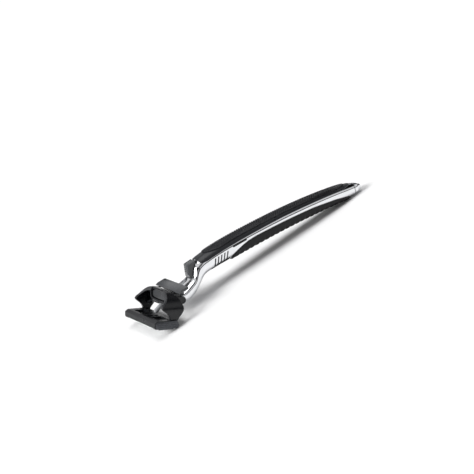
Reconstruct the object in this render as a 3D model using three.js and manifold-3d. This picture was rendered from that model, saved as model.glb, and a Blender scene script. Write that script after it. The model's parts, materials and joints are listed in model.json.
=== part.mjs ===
// Cartridge razor: a plated handle with moulded grips, a sprung release button, a docking nose with
// its spring plunger, a two-armed yoke and a pivoting three-blade unit.
// Millimetres. The pieces are laid out in the blade frame: the blade plane is z = 0, x runs from the
// head to the tail and y along the blades. The whole razor is then turned about y until it lies on
// the guard edge and the tail, with the origin under the middle of its box.
import * as THREE from 'three';
import { mergeVertices } from 'three/addons/utils/BufferGeometryUtils.js';
import Module from 'manifold-3d';

const wasm = await Module();
wasm.setup();

// ---- Driving dimensions ---------------------------------------------------------------------
const unitLength = 42; // blade unit along the blades
const unitDepth = 13; // blade unit from cap edge to guard edge
const unitHeight = 4.3; // blade unit from skin side to back
const pivotInset = 2; // pivot axis in from the guard edge
const pivotHeight = 3; // pivot axis above the blade plane
const pinRadius = 1.15; // yoke pivot pins
const bladePitch = 2.3; // distance from edge to edge
const bladeCount = 3;
const dockRise = 11; // docking axis above the pivot axis
const hubDepth = 5.8; // yoke hub, front to back
const noseHalfWidth = 9.1; // docking nose across
const noseHalfHeight = 2.2; // docking nose, half its thickness
const hubWall = 1.25; // wall of the hub around the nose
const armThick = 1.9; // yoke arms
const gripReach = 94.5; // grip front station to tail end, along x
const gripRise = 39.05; // grip front station to tail end, along z
const gripHalfWidth = 6.25; // widest half width of the grip
const gripHalfHeight = 5.1; // thickest half height of the grip
const buttonHalfWidth = 15; // pusher wing of the release button
const tabHalfWidth = 3; // thumb tab of the release button
const plungerRadius = 1.2;
const plungerTilt = 45; // plunger axis below the docking axis, degrees

// ---- Fits --------------------------------------------------------------------------------
const slip = 0.3; // between pieces that slide or turn
const bed = 0.25; // between a piece and the recess it is moulded or pressed into
const inlay = 1.3; // depth of the moulded grips in the plated core

// ---- Reference points that follow from them --------------------------------------------------
const pivotX = unitDepth / 2 - pivotInset;
const dockX = pivotX - 0.8; // front face of the hub
const dockZ = pivotHeight + dockRise;
const footY = unitLength / 2 - 2.55; // middle of each arm foot
const rad = Math.PI / 180;

// ---- Solids from three.js geometry -------------------------------------------------------------
function solid(geometry) {
  const bare = geometry.clone();
  bare.deleteAttribute('normal');
  bare.deleteAttribute('uv');
  const merged = mergeVertices(bare, 1e-4);
  const vertProperties = new Float32Array(merged.attributes.position.array);
  const triVerts = new Uint32Array(merged.index.array);
  return new wasm.Manifold(new wasm.Mesh({ numProp: 3, vertProperties, triVerts }));
}

function outline(points) {
  return new THREE.Shape(points.map(([a, b]) => new THREE.Vector2(a, b)));
}

const acrossY = new THREE.Matrix4().makeRotationX(Math.PI / 2);
const alongX = new THREE.Matrix4().makeBasis(
  new THREE.Vector3(0, 1, 0),
  new THREE.Vector3(0, 0, 1),
  new THREE.Vector3(1, 0, 0),
);

// A side view in x and z, extruded from y0 to y1.
function side(shape, y0, y1) {
  const face = Array.isArray(shape) ? outline(shape) : shape;
  const g = new THREE.ExtrudeGeometry(face, { depth: y1 - y0, bevelEnabled: false, curveSegments: 8 });
  g.applyMatrix4(acrossY);
  g.translate(0, y1, 0);
  return solid(g);
}

// A front view in y and z, extruded from x0 to x1.
function front(shape, x0, x1) {
  const face = Array.isArray(shape) ? outline(shape) : shape;
  const g = new THREE.ExtrudeGeometry(face, { depth: x1 - x0, bevelEnabled: false, curveSegments: 8 });
  g.applyMatrix4(alongX);
  g.translate(x0, 0, 0);
  return solid(g);
}

// A plan view in x and y, extruded from z0 to z1.
function plan(shape, z0, z1) {
  const face = Array.isArray(shape) ? outline(shape) : shape;
  const g = new THREE.ExtrudeGeometry(face, { depth: z1 - z0, bevelEnabled: false, curveSegments: 8 });
  g.translate(0, 0, z0);
  return solid(g);
}

function block(x0, x1, y0, y1, z0, z1) {
  const g = new THREE.BoxGeometry(x1 - x0, y1 - y0, z1 - z0);
  g.translate((x0 + x1) / 2, (y0 + y1) / 2, (z0 + z1) / 2);
  return solid(g);
}

function barY(x, z, radius, y0, y1, sides = 20) {
  const g = new THREE.CylinderGeometry(radius, radius, y1 - y0, sides);
  g.translate(x, (y0 + y1) / 2, z);
  return solid(g);
}

// A slot shape: a rectangle with rounded ends, centred on (a, b).
function slot(a, b, halfLength, halfHeight, corner) {
  const s = new THREE.Shape();
  const r = Math.min(corner, halfHeight, halfLength);
  s.moveTo(a - halfLength + r, b - halfHeight);
  s.lineTo(a + halfLength - r, b - halfHeight);
  s.absarc(a + halfLength - r, b - halfHeight + r, r, -Math.PI / 2, 0);
  s.lineTo(a + halfLength, b + halfHeight - r);
  s.absarc(a + halfLength - r, b + halfHeight - r, r, 0, Math.PI / 2);
  s.lineTo(a - halfLength + r, b + halfHeight);
  s.absarc(a - halfLength + r, b + halfHeight - r, r, Math.PI / 2, Math.PI);
  s.lineTo(a - halfLength, b - halfHeight + r);
  s.absarc(a - halfLength + r, b - halfHeight + r, r, Math.PI, 1.5 * Math.PI);
  return s;
}

const mirrorY = (s) => s.mirror([0, 1, 0]);

// The main piece of a cut, without the slivers that touching surfaces leave.
function mainPiece(s) {
  const pieces = s.decompose();
  return pieces.reduce((a, b) => (b.volume() > a.volume() ? b : a));
}

// ---- The handle as a row of cross-sections ------------------------------------------------------
// Each station: x, z, tilt of the spine in degrees, half width, half height, roundness exponent.
const neckX = 23.1; // where the grip's reach and rise start, from the dock
const neckZ = 12;
const neckHalfWidth = noseHalfWidth - 0.5; // shovel end of the neck, inside the yoke's ears
const neckStations = [
  [9.5, -1.1, 8, neckHalfWidth, 2.1, 3.4],
  [13.5, 0, 18, neckHalfWidth - 0.2, 3.4, 3.2],
  [17.3, 3.3, 42, (neckHalfWidth + gripHalfWidth) / 2, 3.3, 2.9],
  [20.1, 6.9, 52, gripHalfWidth + 0.2, 2.9, 2.7],
  [22.6, 12.6, 43, gripHalfWidth - 0.1, 4.4, 2.5],
];
// Grip stations: parts of the reach and rise, tilt, parts of the half width and half height.
const gripStations = [
  [0.058, 0.12, 33, 0.99, 0.94],
  [0.14, 0.222, 26.5, 1, 0.99],
  [0.2455, 0.3406, 24, 1, 1],
  [0.3725, 0.4738, 23, 0.99, 0.98],
  [0.5206, 0.6197, 21.5, 0.96, 0.94],
  [0.6688, 0.7529, 19.5, 0.93, 0.88],
  [0.8063, 0.8656, 17.5, 0.88, 0.8],
  [0.9122, 0.9424, 16, 0.8, 0.7],
  [0.9704, 0.9808, 15, 0.66, 0.56],
  [1, 1, 15, 0.4, 0.33],
];
const gripRoundness = 2.45;
const stations = neckStations.map(([x, z, tilt, w, h, n]) => [x, z, tilt, w, h, n]);
for (const [u, v, tilt, w, h] of gripStations) {
  const x = neckX + gripReach * u;
  const z = neckZ + gripRise * v;
  stations.push([x, z, tilt, gripHalfWidth * w, gripHalfHeight * h, gripRoundness]);
}
const spine = new THREE.CatmullRomCurve3(
  stations.map(([x, z, tilt]) => new THREE.Vector3(x, z, tilt)),
  false,
  'catmullrom',
  0.5,
);
const girth = new THREE.CatmullRomCurve3(
  stations.map(([, , , w, h, n]) => new THREE.Vector3(w, h, n)),
  false,
  'catmullrom',
  0.5,
);

const power = (v, n) => Math.sign(v) * Math.abs(v) ** (2 / n);

// The handle skin, grown outward by `grow`: a cylinder whose rings follow the stations.
function handleSkin(grow, around = 20, along = 28) {
  const g = new THREE.CylinderGeometry(1, 1, 1, around, along);
  const p = g.attributes.position;
  for (let i = 0; i < p.count; i += 1) {
    const t = 0.5 - p.getY(i);
    const s = spine.getPoint(t);
    const q = girth.getPoint(t);
    const tilt = s.z * rad;
    const radius = Math.hypot(p.getX(i), p.getZ(i));
    const across = radius > 0.5 ? power(p.getX(i), q.z) * (q.x + grow) : 0;
    const up = radius > 0.5 ? power(p.getZ(i), q.z) * (q.y + grow) : 0;
    const end = t < 1e-6 ? -grow : t > 1 - 1e-6 ? grow : 0;
    const x = s.x - Math.sin(tilt) * up + Math.cos(tilt) * end;
    const z = s.y + Math.cos(tilt) * up + Math.sin(tilt) * end;
    p.setXYZ(i, x, across, z);
  }
  return solid(g);
}

// The station of the spine that has a given x, found by halving.
function stationAt(x) {
  let low = 0;
  let high = 1;
  for (let i = 0; i < 30; i += 1) {
    const middle = (low + high) / 2;
    if (spine.getPoint(middle).x < x) {
      low = middle;
    } else {
      high = middle;
    }
  }
  const s = spine.getPoint(low);
  return { x: s.x, z: s.y, tilt: s.z * rad, half: girth.getPoint(low).y };
}
// A point `up` above the spine (or below it, where up is negative).
function offSpine(x, up) {
  const s = stationAt(x);
  return [s.x - Math.sin(s.tilt) * up, s.z + Math.cos(s.tilt) * up];
}
const tailX = neckX + gripReach;

// A side zone of the handle above (sign 1) or below (sign -1) a line given as [x, up] pairs.
function zone(line, sign) {
  const far = 40;
  const edge = [];
  for (let i = 0; i < line.length - 1; i += 1) {
    const [xa, ua] = line[i];
    const [xb, ub] = line[i + 1];
    const steps = Math.max(1, Math.round((xb - xa) / 6));
    for (let k = 0; k < steps; k += 1) {
      edge.push(offSpine(xa + ((xb - xa) * k) / steps, ua + ((ub - ua) * k) / steps));
    }
  }
  edge.push(offSpine(...line[line.length - 1]));
  const first = edge[0];
  const last = edge[edge.length - 1];
  edge.push([last[0], last[1] + far * sign]);
  edge.push([first[0], first[1] + far * sign]);
  return side(sign > 0 ? edge : edge.reverse(), -20, 20);
}

// ---- Grip outlines seen from above: x from the dock, half width ----------------------------------
function pod(xFront, xTail, halfWide, frontRound, tailRound) {
  const s = new THREE.Shape();
  s.moveTo(xFront, 0);
  const shoulder = xFront + frontRound;
  const waist = halfWide * 0.86; // narrower where the tail's curve starts
  s.bezierCurveTo(xFront, -halfWide * 0.8, xFront + frontRound * 0.4, -halfWide, shoulder, -halfWide);
  s.lineTo(xTail - tailRound, -waist);
  s.bezierCurveTo(xTail - tailRound * 0.4, -waist, xTail, -halfWide * 0.6, xTail, 0);
  s.bezierCurveTo(xTail, halfWide * 0.6, xTail - tailRound * 0.4, waist, xTail - tailRound, waist);
  s.lineTo(shoulder, halfWide);
  s.bezierCurveTo(xFront + frontRound * 0.4, halfWide, xFront, halfWide * 0.8, xFront, 0);
  return s;
}
const tabBack = 20.3; // rear face of the thumb tab
const bezelFront = tabBack + slip + 0.3;
const bezelTail = tailX - 6.5;
const bezelHalf = gripHalfWidth + 0.6; // the bezel wraps over the widest part
const padFront = 25.4;
const padTail = tailX - 9.5;
const padHalf = gripHalfWidth - 1.5;
const bellyFront = 38.4; // tip of the belly grip under the rails
const bellyTail = tailX - 8;

// Lower edge of the bezel and upper edge of the belly grip, as [x, height above the spine].
function bezelEdge(grow) {
  return [[bezelFront - grow, 3.8 - grow], [22.6, 3.2 - grow], [24, 2.4 - grow], [26.5, 1.8 - grow],
    [30, 1.8 - grow], [45, 2.1 - grow], [70, 2.3 - grow], [bezelTail - 8, 2.1 - grow],
    [bezelTail + grow, 2.6 - grow]];
}
function bellyEdge(grow) {
  return [[bellyFront - grow, -3.9 + grow], [40, -3 + grow], [42.6, -1.8 + grow], [45.8, -0.8 + grow],
    [49.2, -0.1 + grow], [54, 0.2 + grow], [bellyTail - 22, -0.2 + grow], [bellyTail - 8, -1.2 + grow],
    [bellyTail + grow, -2.6 + grow]];
}

const bezelSkin = handleSkin(0.35);
const gripSkin = handleSkin(0.8);
const coreSkin = handleSkin(0);
const overSkin = handleSkin(3);
const skinFloor = handleSkin(-inlay);
const skinRecess = handleSkin(-inlay - bed);

function podSolid(grow, xFront, xTail, halfWide, frontRound) {
  return plan(pod(xFront - grow, xTail + grow, halfWide + grow, frontRound + grow, 12 + grow), -30, 90);
}
const bezelRound = 3.5; // how far the bezel's blunt front curves back
const bezelZone = podSolid(0, bezelFront, bezelTail, bezelHalf, bezelRound).intersect(zone(bezelEdge(0), 1));
const bezelRoom = podSolid(bed, bezelFront, bezelTail, bezelHalf, bezelRound)
  .intersect(zone(bezelEdge(bed), 1));
const padBottom = (grow) => [[padFront - 4, 2.7 - grow], [40, 2.6 - grow], [bezelTail - 4, 2.3 - grow],
  [bezelTail + 4, 2.3 - grow]];
const padZone = podSolid(0, padFront, padTail, padHalf, 9).intersect(zone(padBottom(0), 1));
const padRoom = podSolid(bed, padFront, padTail, padHalf, 9).intersect(zone(padBottom(bed), 1));
const bezel = mainPiece(bezelSkin.subtract(skinFloor).intersect(bezelZone).subtract(padRoom));

// Ribbed pad: shallow grooves across the rubber.
let pad = gripSkin.subtract(skinFloor).intersect(padZone);
const groovePitch = 5;
const grooveWide = 1.1;
const grooveDepth = 0.5;
const grooveCount = Math.floor((padTail - padFront - 14) / groovePitch);
for (let i = 0; i < grooveCount; i += 1) {
  const x = padFront + 7 + i * groovePitch;
  const s = stationAt(x);
  const g = new THREE.BoxGeometry(grooveWide, 4 * padHalf, 2 * grooveDepth);
  g.rotateY(-s.tilt);
  const [gx, gz] = offSpine(x, s.half + 0.8);
  g.translate(gx, 0, gz);
  pad = pad.subtract(solid(g));
}

// Belly grip round the underside, with shallow finger scallops.
let belly = mainPiece(gripSkin.subtract(skinFloor).intersect(zone(bellyEdge(0), -1)));
const bellyRoom = overSkin.subtract(skinRecess).intersect(zone(bellyEdge(bed), -1));
const scallopPitch = 6;
const scallopRadius = 1.7;
const scallopDepth = 0.55;
const scallopCount = Math.floor((bellyTail - bellyFront - 24) / scallopPitch);
for (let i = 0; i < scallopCount; i += 1) {
  const x = bellyFront + 12 + i * scallopPitch;
  const s = stationAt(x);
  const g = new THREE.CylinderGeometry(scallopRadius, scallopRadius, 4 * bezelHalf, 12);
  const [gx, gz] = offSpine(x, -(s.half + 0.8 + scallopRadius - scallopDepth));
  g.translate(gx, 0, gz);
  belly = belly.subtract(solid(g));
}

// Side inlays: a thin slot strip high on each rail, and a comb of slanted rubber bars ahead of it.
function band(x0, x1, low, high) {
  const under = [];
  const over = [];
  const steps = 5;
  for (let i = 0; i <= steps; i += 1) {
    const x = x0 + ((x1 - x0) * i) / steps;
    under.push(offSpine(x, low));
    over.push(offSpine(x, high));
  }
  return side([...under, ...over.reverse()], -20, 20);
}
const slotFront = 40.4;
const slotLength = 8;
const slotUp = 1;
const slotHalf = 0.42;
const stripBand = (grow) => band(
  slotFront - grow, slotFront + slotLength + grow, slotUp - slotHalf - grow, slotUp + slotHalf + grow,
);
const combBars = 5;
const combPitch = 1.75;
const combBar = 0.7;
const combTall = 4.3;
const combFront = 29.3;
const combLow = -3;
const combLean = 0.5;
function combBodies(grow) {
  const s = stationAt(combFront + combPitch * 2);
  let bars = band(
    combFront - 1 - grow, combFront + combPitch * (combBars - 1) + 1 + grow, combLow - 0.8 - grow,
    combLow + grow,
  );
  for (let i = 0; i < combBars; i += 1) {
    const g = new THREE.BoxGeometry(combBar + 2 * grow, 20, combTall + 2 * grow);
    g.rotateY(combLean - s.tilt);
    const [x, z] = offSpine(combFront + i * combPitch, combLow + combTall / 2 - 0.5);
    g.translate(x, 0, z);
    bars = bars.add(solid(g));
  }
  return bars;
}
const farSide = 20;
const leftSide = (grow) => block(-40, tailX + 90, -farSide, -gripHalfWidth * 0.52 + grow, -40, 120);
const thinDepth = 0.8;
const thinFloor = handleSkin(-thinDepth);
const thinRecess = handleSkin(-thinDepth - bed);
const stripLeft = handleSkin(-0.15).subtract(thinFloor).intersect(stripBand(0)).intersect(leftSide(0));
const stripCut = overSkin.subtract(thinRecess).intersect(stripBand(bed)).intersect(leftSide(bed));
const combLeft = handleSkin(0.12).subtract(thinFloor).intersect(combBodies(0)).intersect(leftSide(0))
  .subtract(bellyRoom);
const combCut = overSkin.subtract(thinRecess).intersect(combBodies(bed)).intersect(leftSide(bed));

// Tail cap: the last stretch of the handle is its own moulded piece.
const tailFront = tailX - 4.2;
const tailZone = block(tailFront, 300, -20, 20, -40, 120);
const spigotIn = inlay + 2 * bed + 0.3;
const spigotLong = 3.5;
const tailSpigot = handleSkin(-spigotIn)
  .intersect(block(tailFront - spigotLong, tailFront + 1, -20, 20, -40, 120));
const tailCap = handleSkin(0.1).intersect(tailZone).add(tailSpigot);
const tailCut = overSkin.intersect(block(tailFront - bed, 300, -20, 20, -40, 120))
  .add(handleSkin(bed - spigotIn)
    .intersect(block(tailFront - spigotLong - bed, tailFront + 1, -20, 20, -40, 120)));

// ---- Release button: pusher wing, tongue and thumb tab, one moulding ------------------------------
const wingShape = [
  [4.9, 3], [5.3, 2.55], [7, 2.6], [10.7, 4.8], [10.9, 5.5], [10.4, 6.1], [9.5, 5.8], [6.2, 4.1],
];
// A line a set depth below the top of the neck, over part of the spine.
function underTop(depth, from, to) {
  const line = [];
  const steps = 7;
  for (let i = 0; i <= steps; i += 1) {
    const t = (from + ((to - from) * i) / steps) / (stations.length - 1);
    const s = spine.getPoint(t);
    const up = girth.getPoint(t).y - depth;
    line.push([s.x - Math.sin(s.z * rad) * up, s.y + Math.cos(s.z * rad) * up]);
  }
  return line;
}
const tongueTop = 0.6; // tongue below the neck surface
const tongueThick = 1.1;
const tongueShape = [
  [8.6, 3.5], [10.4, 2.8], ...underTop(tongueTop + tongueThick, 1, 3.15),
  ...underTop(tongueTop, 0.95, 3.3).reverse(), [11.4, 3.5], [10.9, 5.2], [10, 5.2],
];
const tabShape = [
  [15.7, 15], [tabBack - 0.5, 17.3], [tabBack, 12], [19.4, 9.2], [17.6, 7.6], [16.8, 8.6], [16.5, 10],
];
const wing = side(wingShape, -buttonHalfWidth, buttonHalfWidth);
const tongue = side(tongueShape, -tabHalfWidth - 0.4, tabHalfWidth + 0.4);
const tab = side(tabShape, -tabHalfWidth, tabHalfWidth);
const springAxis = 12.7; // height of the button spring above the dock axis
const pegLength = 1.5;
const pegGeometry = new THREE.CylinderGeometry(0.5, 0.5, pegLength + 0.6, 12);
pegGeometry.rotateZ(Math.PI / 2);
pegGeometry.translate(20.2 + pegLength / 2, 0, springAxis);
const peg = solid(pegGeometry);
const button = wing.add(tongue).add(tab).add(peg);
const bayFloor = underTop(tongueTop + tongueThick + slip, 0, 3.45).filter(([x]) => x < tabBack + 0.2);
const buttonBay = side(
  [[6, 2.4], ...bayFloor, [tabBack + slip + 0.1, 11.6], [tabBack + slip + 0.1, 19], [6, 19]],
  -tabHalfWidth - 0.4 - slip, tabHalfWidth + 0.4 + slip,
);
const springBoreGeometry = new THREE.CylinderGeometry(1.35, 1.35, 6, 16);
springBoreGeometry.rotateZ(Math.PI / 2);
springBoreGeometry.translate(23.2, 0, springAxis);
const springBore = solid(springBoreGeometry);

// ---- Coil springs ------------------------------------------------------------------------------
class Coil extends THREE.Curve {
  constructor(radius, length, turns) {
    super();
    this.radius = radius;
    this.length = length;
    this.turns = turns;
  }

  getPoint(t, target = new THREE.Vector3()) {
    const a = 2 * Math.PI * this.turns * t;
    return target.set(this.radius * Math.cos(a), this.radius * Math.sin(a), this.length * t);
  }
}
function coil(radius, wire, length, turns) {
  const ring = new THREE.Shape();
  ring.absarc(0, 0, wire, 0, 2 * Math.PI);
  const path = new Coil(radius, length, turns);
  return new THREE.ExtrudeGeometry(ring, {
    steps: Math.round(turns * 12), extrudePath: path, bevelEnabled: false, curveSegments: 3,
  });
}
const buttonSpringLength = 4.2;
const buttonSpring = coil(0.85, 0.18, buttonSpringLength, 4);
buttonSpring.rotateY(Math.PI / 2);
buttonSpring.translate(21.4, 0, springAxis);

// ---- Plunger in the nose --------------------------------------------------------------------------
const entryX = 4.9; // where the plunger axis leaves the underside of the nose
const tipGap = 0.35; // plunger tip above the back of the blade unit
const tipDrop = dockRise + pivotHeight - unitHeight - noseHalfHeight - plungerRadius - tipGap;
const backLength = 1.1; // plunger tail inside the nose
const boreBack = 4.1; // depth of the bore along its axis
const plungerDirection = new THREE.Vector3(-Math.cos(plungerTilt * rad), 0, -Math.sin(plungerTilt * rad));
const entry = new THREE.Vector3(entryX, 0, -noseHalfHeight);
function axial(radiusA, radiusB, from, to, sides = 18) {
  const g = new THREE.CylinderGeometry(radiusB, radiusA, to - from, sides);
  g.translate(0, (from + to) / 2, 0);
  const turn = new THREE.Quaternion().setFromUnitVectors(new THREE.Vector3(0, 1, 0), plungerDirection);
  g.applyQuaternion(turn);
  g.translate(entry.x, entry.y, entry.z);
  return g;
}
const tipReach = tipDrop / Math.sin(plungerTilt * rad);
const tipGeometry = new THREE.SphereGeometry(plungerRadius, 18, 10);
tipGeometry.applyQuaternion(
  new THREE.Quaternion().setFromUnitVectors(new THREE.Vector3(0, 1, 0), plungerDirection),
);
tipGeometry.translate(
  entry.x + plungerDirection.x * tipReach, 0, entry.z + plungerDirection.z * tipReach,
);
const plunger = solid(axial(plungerRadius, plungerRadius, -backLength, tipReach)).add(solid(tipGeometry));
const plungerBore = solid(axial(plungerRadius + slip, plungerRadius + slip, -boreBack, 3));
const plungerSpring = coil(0.75, 0.17, boreBack - backLength - 0.7, 3);
plungerSpring.applyQuaternion(new THREE.Quaternion().setFromUnitVectors(
  new THREE.Vector3(0, 0, 1), plungerDirection.clone().negate(),
));
const springStart = backLength + 0.35;
plungerSpring.translate(
  entry.x - plungerDirection.x * springStart, 0, entry.z - plungerDirection.z * springStart,
);

// ---- Docking nose -----------------------------------------------------------------------------
const noseFront = 0.9;
const noseBack = 8.85;
const noseTail = 13.2;
const noseCorner = 1.9;
const noseHead = front(slot(0, 0, noseHalfWidth, noseHalfHeight, noseCorner), noseFront, noseBack);
const noseRoot = front(slot(0, -0.9, 5.6, 1.1, 0.6), noseBack - 0.5, noseTail);
const nose = noseHead.add(noseRoot).subtract(plungerBore);
const rootPocket = front(slot(0, -0.9, 5.6 + bed, 1.1 + bed, 0.7), noseBack - 3, noseTail + bed);

// Two cross pins hold the nose root in the neck.
const pinAt = 12;
const pinHoleRadius = 0.75;
const nosePin = (y) => {
  const g = new THREE.CylinderGeometry(pinHoleRadius - bed, pinHoleRadius - bed, 3.6, 14);
  g.rotateX(Math.PI / 2);
  g.translate(pinAt, y, -0.7);
  return g;
};
const nosePinHole = (y) => {
  const g = new THREE.CylinderGeometry(pinHoleRadius, pinHoleRadius, 4.4, 14);
  g.rotateX(Math.PI / 2);
  g.translate(pinAt, y, -0.7);
  return solid(g);
};
const pinPlace = 6.4;
const noseDrilled = nose.subtract(nosePinHole(-pinPlace)).subtract(nosePinHole(pinPlace));

// ---- Plated core ---------------------------------------------------------------------------------
let core = coreSkin.subtract(overSkin.subtract(skinRecess).intersect(bezelRoom.add(padRoom)));
core = core.subtract(bellyRoom).subtract(stripCut).subtract(mirrorY(stripCut));
core = core.subtract(combCut).subtract(mirrorY(combCut)).subtract(tailCut);
core = core.subtract(buttonBay).subtract(springBore).subtract(rootPocket);
core = mainPiece(core.subtract(nosePinHole(-pinPlace)).subtract(nosePinHole(pinPlace)));

// ---- Yoke: hub around the nose, two arms, pivot pins ---------------------------------------------
const hubHalfWide = noseHalfWidth + slip + hubWall;
const hubHalfHigh = noseHalfHeight + slip + hubWall;
const hubOuter = front(slot(0, 0, hubHalfWide, hubHalfHigh, 2.8), 0, hubDepth);
const tunnel = front(slot(0, 0, noseHalfWidth + slip, noseHalfHeight + slip, noseCorner), -30, 30);
const pivotDX = pivotX - dockX;
const pivotDZ = -dockRise;
const armTop = hubHalfHigh - 0.2;
const armShape = new THREE.Shape();
const armOut = footY + armThick / 2;
const armIn = footY - armThick / 2;
const footLow = pivotDZ - 1.5;
armShape.moveTo(hubHalfWide - 3.4, armTop);
armShape.bezierCurveTo(armOut - 4, armTop - 0.3, armOut, pivotDZ + 9.5, armOut, pivotDZ + 4.5);
armShape.lineTo(armOut, footLow);
armShape.lineTo(armIn, footLow);
armShape.lineTo(armIn, pivotDZ + 4);
armShape.bezierCurveTo(armIn, pivotDZ + 8.5, armOut - 5, armTop - 2, hubHalfWide - 3.4, armTop - 2);
const armSide = [
  [pivotDX - 1.6, pivotDZ - 0.7], [pivotDX - 1.1, footLow], [pivotDX + 1.1, footLow],
  [pivotDX + 1.6, pivotDZ - 0.7], [pivotDX + 2, pivotDZ + 1.2],
  [pivotDX + 5.4, pivotDZ + 5.2], [pivotDX + 5.8, pivotDZ + 7.6], [pivotDX + 4.6, -1], [hubDepth, armTop + 1],
  [0.1, armTop + 1], [-3.2, pivotDZ + 9.4], [-6.2, pivotDZ + 7.4], [-5.9, pivotDZ + 6.9],
  [pivotDX - 2.1, pivotDZ + 3.5],
];
const armLeft = front(mirrorShape(armShape), -12, 16).intersect(side(armSide, -40, 40));
function mirrorShape(shape) {
  const flipped = shape.getPoints(10).map((p) => [-p.x, p.y]);
  return flipped.reverse();
}
const pinLength = 1.7;
const pinLeft = barY(pivotDX, pivotDZ, pinRadius, -armIn - 0.5, -armIn + pinLength);
const earShape = slot(hubDepth + 1.9, -1.6, 3.6, 2, 2);
const earLeft = side(earShape, -hubHalfWide, -hubHalfWide + hubWall - 0.1);
const webLow = -hubHalfHigh - 1;
const web = front([
  [-hubHalfWide + 1, -hubHalfHigh + 0.6], [-armIn + 0.6, pivotDZ + 5.4], [-armIn + 0.6, pivotDZ + 4],
  [-hubHalfWide, webLow], [hubHalfWide, webLow], [armIn - 0.6, pivotDZ + 4], [armIn - 0.6, pivotDZ + 5.4],
  [hubHalfWide - 1, -hubHalfHigh + 0.6],
], 1, 5);
const slotHalfWide = plungerRadius + slip + 0.1;
const plungerSlot = block(0.6, 30, -slotHalfWide, slotHalfWide, -12, -noseHalfHeight);
const pushBite = 3.6; // how far the top of the hub is cut back for the pusher wing
const pusherBay = block(hubDepth - pushBite, hubDepth + 9, -20, 20, noseHalfHeight, 12);
let yoke = hubOuter.add(armLeft).add(mirrorY(armLeft)).add(earLeft).add(mirrorY(earLeft)).add(web);
yoke = yoke.subtract(tunnel).subtract(plungerSlot).subtract(pusherBay);
yoke = yoke.add(pinLeft).add(mirrorY(pinLeft));

// ---- Blade unit, in the blade frame ----------------------------------------------------------------
const halfDepth = unitDepth / 2;
const halfLength = unitLength / 2;
const windowHalf = halfLength - 4.1; // blade window along y
const windowGuard = halfDepth - 3.6;
const windowCap = -halfDepth + 2.5;
const clipThick = 0.55;
const bodySide = [
  [-halfDepth, 0.7], [-halfDepth + 0.5, 0.1], [halfDepth - 0.8, 0.1], [halfDepth, 0.8],
  [halfDepth, unitHeight - 1], [halfDepth - 0.9, unitHeight], [-halfDepth + 1.6, unitHeight],
  [-halfDepth, unitHeight - 1.2],
];
const notchFront = pivotX - 3.5;
const notchIn = armIn - 0.35;
const notchOut = armOut + 0.35;
let housing = side(bodySide, -halfLength + clipThick + bed, halfLength - clipThick - bed);
housing = housing.subtract(block(windowCap, windowGuard, -windowHalf, windowHalf, -1, 2.9));
for (const s of [-1, 0, 1]) {
  const middle = (s * 2 * windowHalf) / 3;
  const reach = windowHalf / 3 - 0.9;
  housing = housing.subtract(
    block(windowCap + 0.6, windowGuard - 0.4, middle - reach, middle + reach, 2, unitHeight + 1)
      .subtract(block(-20, 20, -plungerRadius - 1, plungerRadius + 1, 0, 10)),
  );
}
const notchLeft = block(notchFront, halfDepth + 1, -notchOut, -notchIn, pivotHeight - 2.1, unitHeight + 1);
housing = housing.subtract(notchLeft).subtract(mirrorY(notchLeft));
const pinHole = barY(pivotX, pivotHeight, pinRadius + slip, -notchIn - 1, -armIn + pinLength + slip);
housing = housing.subtract(pinHole).subtract(mirrorY(pinHole));

// Guard: a soft strip of fins ahead of the first blade.
const guardIn = windowGuard + 0.55;
const guardOut = halfDepth - 0.55;
const guardHalf = armIn - 0.9;
const finCount = 5;
const guardShape = [[guardIn, 1]];
guardShape.push([guardIn, 0.25]);
for (let i = 0; i < finCount; i += 1) {
  const step = (guardOut - guardIn) / finCount;
  guardShape.push([guardIn + step * (i + 0.3), -0.12]);
  guardShape.push([guardIn + step * (i + 0.6), -0.12]);
  guardShape.push([guardIn + step * (i + 0.95), 0.25]);
}
guardShape.push([guardOut, 1]);
const guard = side(guardShape.reverse(), -guardHalf, guardHalf);
const guardCut = block(
  guardIn - bed, guardOut + bed, -guardHalf - bed, guardHalf + bed, -1, 1 + bed,
);
// Comfort strip on the cap side.
const stripIn = windowCap - 0.5;
const stripOut = -halfDepth + 0.45;
const strip = side(
  [[stripOut, 1], [stripOut + 0.1, 0.15], [stripOut + 0.5, -0.1], [stripIn - 0.4, -0.1], [stripIn, 0.15],
    [stripIn, 1]].reverse(),
  -guardHalf, guardHalf,
);
const stripRecess = block(
  stripOut - bed, stripIn + bed, -guardHalf - bed, guardHalf + bed, -1, 1 + bed,
);
housing = housing.subtract(guardCut).subtract(stripRecess);

// Blades and their bent supports.
const bladeHalf = windowHalf - 0.35;
const bladeTilt = 0.42;
const bladeWide = 1.9;
const bladeThick = 0.2;
const bladeShape = (edgeX) => {
  const c = Math.cos(bladeTilt);
  const s = Math.sin(bladeTilt);
  const at = (a, b) => [edgeX - a * c + b * s, 0.1 + a * s + b * c];
  return [at(0, 0), at(0.5, bladeThick), at(bladeWide, bladeThick), at(bladeWide, 0)];
};
const supportShape = (edgeX) => {
  const c = Math.cos(bladeTilt);
  const s = Math.sin(bladeTilt);
  const at = (a, b) => [edgeX - a * c + b * s, 0.1 + a * s + b * c];
  const lift = bladeThick + bed;
  const heel = at(1.75, lift + 0.3);
  const toe = at(1.75, lift);
  return [at(0.8, lift), at(0.8, lift + 0.3), [heel[0] + 0.12, heel[1]], [heel[0] + 0.12, 2.6],
    [heel[0] - 0.18, 2.6], [heel[0] - 0.18, heel[1]], toe];
};
const firstEdge = windowGuard - 0.35;
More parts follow.
